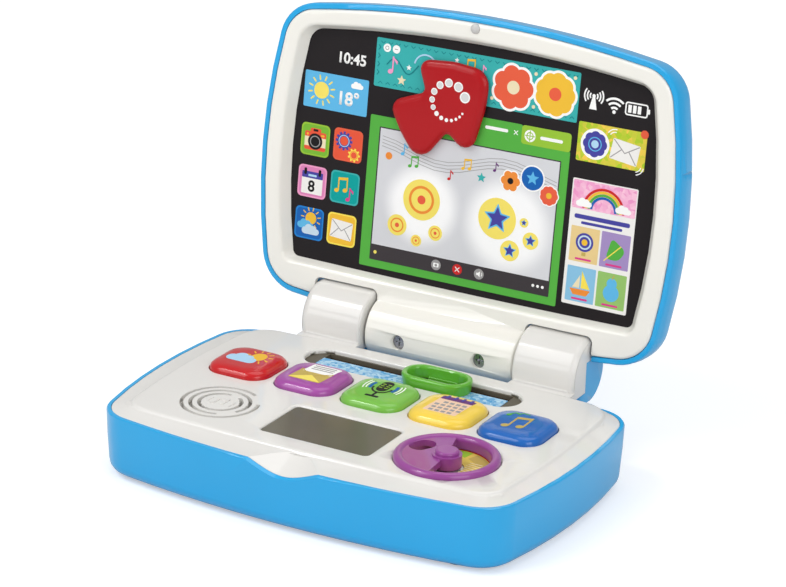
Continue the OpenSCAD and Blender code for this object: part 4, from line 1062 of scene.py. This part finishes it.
        # pictures of a rainbow, a round target, a leaf, a boat and a pear
        art.panel(57.0, 32.2, 91.8, 95.0, PAPER, 1, 0.8)
        art.panel(57.6, 80.4, 91.2, 94.4, BLOSSOM, 2, 0.5)
        for r, ink in ((10.6, RED), (9.2, GOLD), (7.8, GRASS), (6.4, ROYAL)):
            art.ring(74.4, 81.0, r, 1.3, ink, 3, 0, 180)
        art.cloud(63.8, 83.0, 2.4, WHITE, 5)
        art.cloud(84.8, 83.0, 2.4, WHITE, 5)
        art.panel(59.6, 75.4, 89.2, 77.6, INDIGO, 2, 0.9)
        art.panel(63.4, 72.9, 85.4, 74.3, INDIGO, 2, 0.6)
        for x, v, ink in ((58.6, 54.0, SAND), (75.0, 54.0, LILAC), (58.6, 34.0, POWDER),
                          (75.0, 34.0, MEADOW)):
            art.panel(x, v, x + 15.4, v + 17.6, ink, 2, 0.5)
            art.panel(x + 3.4, v + 1.0, x + 12.0, v + 2.0, MAGENTA, 4, 0.4)
        art.disc(66.3, 64.0, 4.7, INDIGO, 3)
        art.ring(66.3, 64.0, 3.2, 0.8, MIST, 4)
        art.disc(66.3, 64.0, 1.6, GOLD, 4)
        art.panel(65.2, 57.2, 67.4, 59.0, OCHRE, 3, 0.3)
        art.outline([(78.0, 58.2), (85.0, 58.0), (88.4, 63.6), (80.6, 69.0)], GRASS, 3, 2.4)
        art.stroke([(77.4, 57.2), (85.6, 65.4)], 0.5, LEMON, 4)
        art.outline([(60.6, 40.4), (71.8, 40.4), (69.8, 37.4), (62.6, 37.4)], ORANGE, 3, 0.4)
        art.outline([(66.6, 41.0), (66.6, 49.8), (71.4, 41.0)], LEMON, 3)
        art.outline([(65.8, 41.0), (65.8, 47.6), (62.0, 41.0)], CREAM, 3)
        art.disc(82.8, 41.6, 4.2, SKY, 3)
        art.disc(82.8, 46.4, 2.7, SKY, 3)
        art.stroke([(82.8, 48.6), (83.6, 50.6)], 0.5, OCHRE, 4)
        art.piece("print_cards", "lid")


@dataclass
class ArrowPrint:
    """A ring of pale dots with white edges, growing round the turning arrow's face."""

    face_w: float = 2.9
    centre: Point = (-11.8, 121.3)
    ring_r: float = 9.3
    dots: int = 14
    start: float = 22.0
    largest: float = 2.8
    shrink: float = 0.89
    gap: float = 0.95
    plain_below: float = 1.3
    heart: float = 0.76

    def build(self) -> None:
        """Lays the dots, each a little smaller than the one before it."""
        art = Artwork(LID, self.face_w)
        turn, r = self.start, self.largest
        for _ in range(self.dots):
            x, y = polar(*self.centre, self.ring_r, math.radians(turn))
            art.disc(x, y, r, WHITE)
            if r > self.plain_below:
                art.disc(x, y, r * self.heart, PALE_GREY, 2)
            turn += math.degrees((r * (1 + self.shrink) + self.gap) / self.ring_r)
            r *= self.shrink
        art.piece("print_arrow_dots", "arrow")


@dataclass
class ButtonPrints:
    """The emblems on the five press buttons, draped over their crowned tops."""

    pitch: float = 37.2
    row: float = -72.6
    top: float = DECK_TOP + 4.0
    cell: float = 1.6
    stretch: float = 1.25

    def _start(self, place: int) -> Artwork:
        """Starts a sketch in the middle of a button.

        Args:
            place: The button's place in the row, from -2 to 2.

        Returns:
            The empty sketch.
        """
        spot = (DECK @ Matrix.Translation((place * self.pitch, self.row, 0))
                @ Matrix.Diagonal((1, self.stretch, 1, 1)))
        return Artwork(spot, self.top, self.cell)

    def build(self) -> None:
        """Prints all five buttons."""
        self._cloud_and_sun()
        self._letter()
        self._microphone()
        self._calendar()
        self._notes()

    def _cloud_and_sun(self) -> None:
        """Red button: a sun behind a cloud."""
        art = self._start(-2)
        art.sun(3.4, 3.2, 4.0, GOLD, 1, 11)
        art.cloud(-3.2, -1.6, 4.6, PALE_SKY, 2)
        art.piece("print_button_red", "button_red", "button_red")

    def _letter(self) -> None:
        """Purple button: a letter rising from an open envelope."""
        art = self._start(-1)
        art.outline([(-9.4, -7.2), (8.2, -7.2), (9.2, 3.2), (-8.4, 3.2)], OCHRE, 1, 0.6)
        art.outline([(-7.2, 1.2), (8.6, 1.2), (9.6, 9.2), (-5.8, 9.2)], WHITE, 2, 0.5)
        for y in (7.6, 6.0, 4.4):
            art.panel(-4.4, y - 0.35, 7.6, y + 0.35, GREY, 3)
        art.stroke([(-8.4, 2.8), (0.2, -2.4), (9.0, 2.8)], 0.5, OCHRE, 4)
        art.outline([(-9.2, -6.8), (8.0, -6.8), (0.2, -1.6)], YELLOW, 4, 0.4)
        art.piece("print_button_purple", "button_purple", "button_purple")

    def _microphone(self) -> None:
        """Green button: a microphone between sound waves."""
        art = self._start(0)
        art.panel(-3.0, -1.2, 3.0, 9.0, BLACK, 2, 2.9)
        for y in (2.2, 4.0, 5.8):
            for side in (-1, 1):
                art.panel(side * 0.6, y - 0.3, side * 2.4, y + 0.3, LIME, 3)
        art.ring(0, 2.2, 4.9, 0.9, BLACK, 2, 180, 180)
        art.panel(-0.6, -6.4, 0.6, -2.2, BLACK, 2)
        art.panel(-3.6, -7.6, 3.6, -6.2, BLACK, 2, 0.5)
        for side in (0, 180):
            art.ring(0, 3.0, 6.6, 1.5, ROYAL, 2, side - 26, 52)
            for r in (8.4, 10.0):
                art.ring(0, 3.0, r, 0.6, WHITE, 2, side - 24, 48)
        art.piece("print_button_green", "button_green", "button_green")

    def _calendar(self) -> None:
        """Yellow button: a month's leaf under a binding."""
        art = self._start(1)
        art.outline([(-9.2, -7.4), (8.2, -7.4), (9.2, 5.8), (-8.2, 5.8)], PEACH, 1, 0.6)
        art.outline([(-8.2, 5.4), (9.2, 5.4), (9.6, 8.6), (-7.8, 8.6)], PLUM, 2, 0.4)
        for x in (-5.6, -1.4, 2.8, 7.0):
            art.panel(x - 0.5, 6.6, x + 0.9, 10.0, INDIGO, 3, 0.4)
        for row in range(4):
            for col in range(5):
                x, y = -6.4 + col * 3.3 + (3 - row) * 0.25, -6.0 + row * 2.9
                if (row, col) not in ((3, 0), (0, 4)):
                    art.panel(x - 1.1, y - 0.8, x + 1.1, y + 0.8, GREY, 2)
        art.piece("print_button_yellow", "button_yellow", "button_yellow")

    def _notes(self) -> None:
        """Blue button: a pair of joined notes and a swirl."""
        art = self._start(2)
        art.note(-4.2, -4.6, 9.6, OCHRE, 2, True, 0.2)
        art.stroke([(-8.4, 5.8), (-6.2, 8.4), (-4.0, 7.6), (-3.0, 9.6), (0.4, 9.2)], 0.8,
                   GRASS, 2)
        art.disc(-8.2, 5.4, 1.3, GRASS, 3, 0.7, 30)
        art.piece("print_button_blue", "button_blue", "button_blue")


@dataclass
class DialPrint:
    """The print on the disc under the turning wheel."""

    centre: Point = (61.5, -119.0)
    top: float = DECK_TOP - 4.2

    def build(self) -> None:
        """Lays coloured sectors and emblems on the disc."""
        art = Artwork(DECK @ Matrix.Translation((*self.centre, 0)), self.top)
        for start, ink in ((-70, OCHRE), (-20, YELLOW), (30, OCHRE), (80, LIME), (150, YELLOW),
                           (215, ORANGE)):
            art.ring(0, 0, 16.8, 6.4, ink, 1, start, 42)
        art.ring(0, 0, 20.8, 0.9, RED, 2)
        for i in range(9):
            art.stroke([(7.4, -6 + i * 1.9), (13.6, -8.4 + i * 2.2)], 0.5, CREAM, 2)
        art.panel(9.4, -14.2, 14.2, -9.8, PLUM, 3, 1.0, 20)
        art.ring(16.4, -9.4, 1.9, 0.7, ROYAL, 3, 0, 270)
        art.ring(-15, 4, 2.4, 0.9, BLACK, 3, 20, 300)
        art.star(16.6, 6.2, 2.2, WHITE, 3)
        art.piece("print_dial_disc", "base")


@dataclass
class GrilleRelief:
    """The small raised note and waves in the middle of the speaker grille."""

    centre: Point = (-61.5, -119.0)
    deck_top: float = DECK_TOP
    softening: float = 0.12

    def build(self) -> None:
        """Raises the moulded emblem a little above the deck."""
        art = Artwork(DECK @ Matrix.Translation((*self.centre, 0)), self.deck_top)
        art.note(-3.0, -2.6, 6.4, DECK_WHITE, 9, True, 0.15)
        for side in (0, 180):
            art.ring(0.4, 0, 6.6, 0.7, DECK_WHITE, 7, side - 28, 56)
        piece = art.piece("grille_relief", "base")
        soften = piece.modifiers.new("soft_edges", "BEVEL")
        soften.width, soften.segments, soften.limit_method = self.softening * MM, 2, "ANGLE"


@dataclass
class Studio:
    """Floor, lamps, world and camera. The offset, in millimetres, and the sensor are the camera's.

    The other lengths are metres.
    """

    focal_px: float = 2954.15
    frame_px: Point = (786.0, 587.0)
    yaw: float = -28.62
    pitch: float = 20.44
    roll: float = 1.71
    offset: Triple = (29.22, 28.87, 1481.37)
    sensor: float = 36.0
    clip: Point = (0.05, 20.0)
    floor_half: float = 6.0
    floor_tone: Colour = (0.78, 0.78, 0.79)
    lit_point: Triple = (0.0, 0.0, 0.08)

    def build(self) -> None:
        """Makes everything that isn't part of the toy."""
        self._floor()
        self._lamps()
        self._world()
        self._camera()
        bpy.context.scene.view_settings.view_transform = "Standard"

    def _camera(self) -> None:
        """Places the camera from its solved angles and offset."""
        turn = (Matrix.Rotation(math.radians(self.roll), 3, "Z")
                @ Matrix.Rotation(math.radians(self.pitch), 3, "X")
                @ Matrix(((1, 0, 0), (0, 0, -1), (0, 1, 0)))
                @ Matrix.Rotation(math.radians(self.yaw), 3, "Z"))
        back = turn.transposed()
        data = bpy.data.cameras.new("camera")
        data.sensor_width = self.sensor
        data.lens = self.focal_px / self.frame_px[0] * self.sensor
        data.clip_start, data.clip_end = self.clip
        camera = link_object("camera", data)
        place = -(back @ Vector(self.offset)) + Vector((0, HINGE.y / MM, DECK_TOP))
        camera.matrix_world = (Matrix.Translation(place * MM)
                               @ (back @ Matrix.Diagonal((1, -1, -1))).to_4x4())
        bpy.context.scene.camera = camera

    def _floor(self) -> None:
        """A wide pale floor that keeps the toy's shadow and is white to the camera."""
        flat = bmesh.new()
        bmesh.ops.create_grid(flat, x_segments=1, y_segments=1, size=self.floor_half)
        mesh = bpy.data.meshes.new("floor")
        flat.to_mesh(mesh)
        flat.free()
        mat = bpy.data.materials.new("floor")
        mat.use_nodes = True
        tree = mat.node_tree
        level = add_node(tree, "Math")
        level.operation = "MULTIPLY"
        fill(level, {0: add_node(tree, "LightPath").outputs["Is Camera Ray"], 1: ROOM_LEVEL})
        matt = add_node(tree, "BsdfDiffuse", Color=(*self.floor_tone, 1))
        glow = add_node(tree, "Emission", Color=(1, 1, 1, 1), Strength=level.outputs[0])
        both = fill(add_node(tree, "AddShader"), {0: matt.outputs[0], 1: glow.outputs[0]})
        fill(tree.nodes["Material Output"], {"Surface": both.outputs[0]})
        tree.nodes.remove(tree.nodes["Principled BSDF"])
        mesh.materials.append(mat)
        floor = link_object("floor", mesh)

    def _lamps(self) -> None:
        """Three large soft lamps, and a low one and a small one that give the highlights."""
        for name, place, size, power in (
                ("key", (-0.9, -1.1, 1.5), 1.1, 12.0), ("fill", (1.4, -0.9, 0.9), 1.2, 12.0),
                ("low", (-0.85, -1.5, 0.62), 0.45, 1.8), ("top", (0.1, 0.5, 1.7), 1.3, 8.0),
                ("glint", (-0.8, -0.6, 1.45), 0.25, 2.8)):
            data = bpy.data.lights.new(name, "AREA")
            data.size, data.energy = size, power
            lamp = link_object(name, data)
            lamp.location = place
            aim = Vector(self.lit_point) - Vector(place)
            lamp.rotation_euler = aim.to_track_quat("-Z", "Y").to_euler()

    @staticmethod
    def _world() -> None:
        """A pale world: white where the camera sees it, softer as light."""
        world = bpy.data.worlds.new("studio")
        bpy.context.scene.world = world
        world.use_nodes = True
        tree = world.node_tree
        level = add_node(tree, "MapRange", To_Min=ROOM_LEVEL, To_Max=1.0,
                         Value=add_node(tree, "LightPath").outputs["Is Camera Ray"])
        fill(tree.nodes["Background"],
             {"Color": (1, 1, 1, 1), "Strength": level.outputs["Result"]})


def main() -> None:
    """Builds the toy's looks in order."""
    logging.basicConfig(level=logging.INFO, format="%(name)s: %(message)s")
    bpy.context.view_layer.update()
    Studio().build()
    for part in (Mouldings(), ScreenPrint(), ArrowPrint(), ButtonPrints(), DialPrint(),
                 GrilleRelief()):
        part.build()
        log.info("%s done", type(part).__name__)


if __name__ == "__main__":
    main()
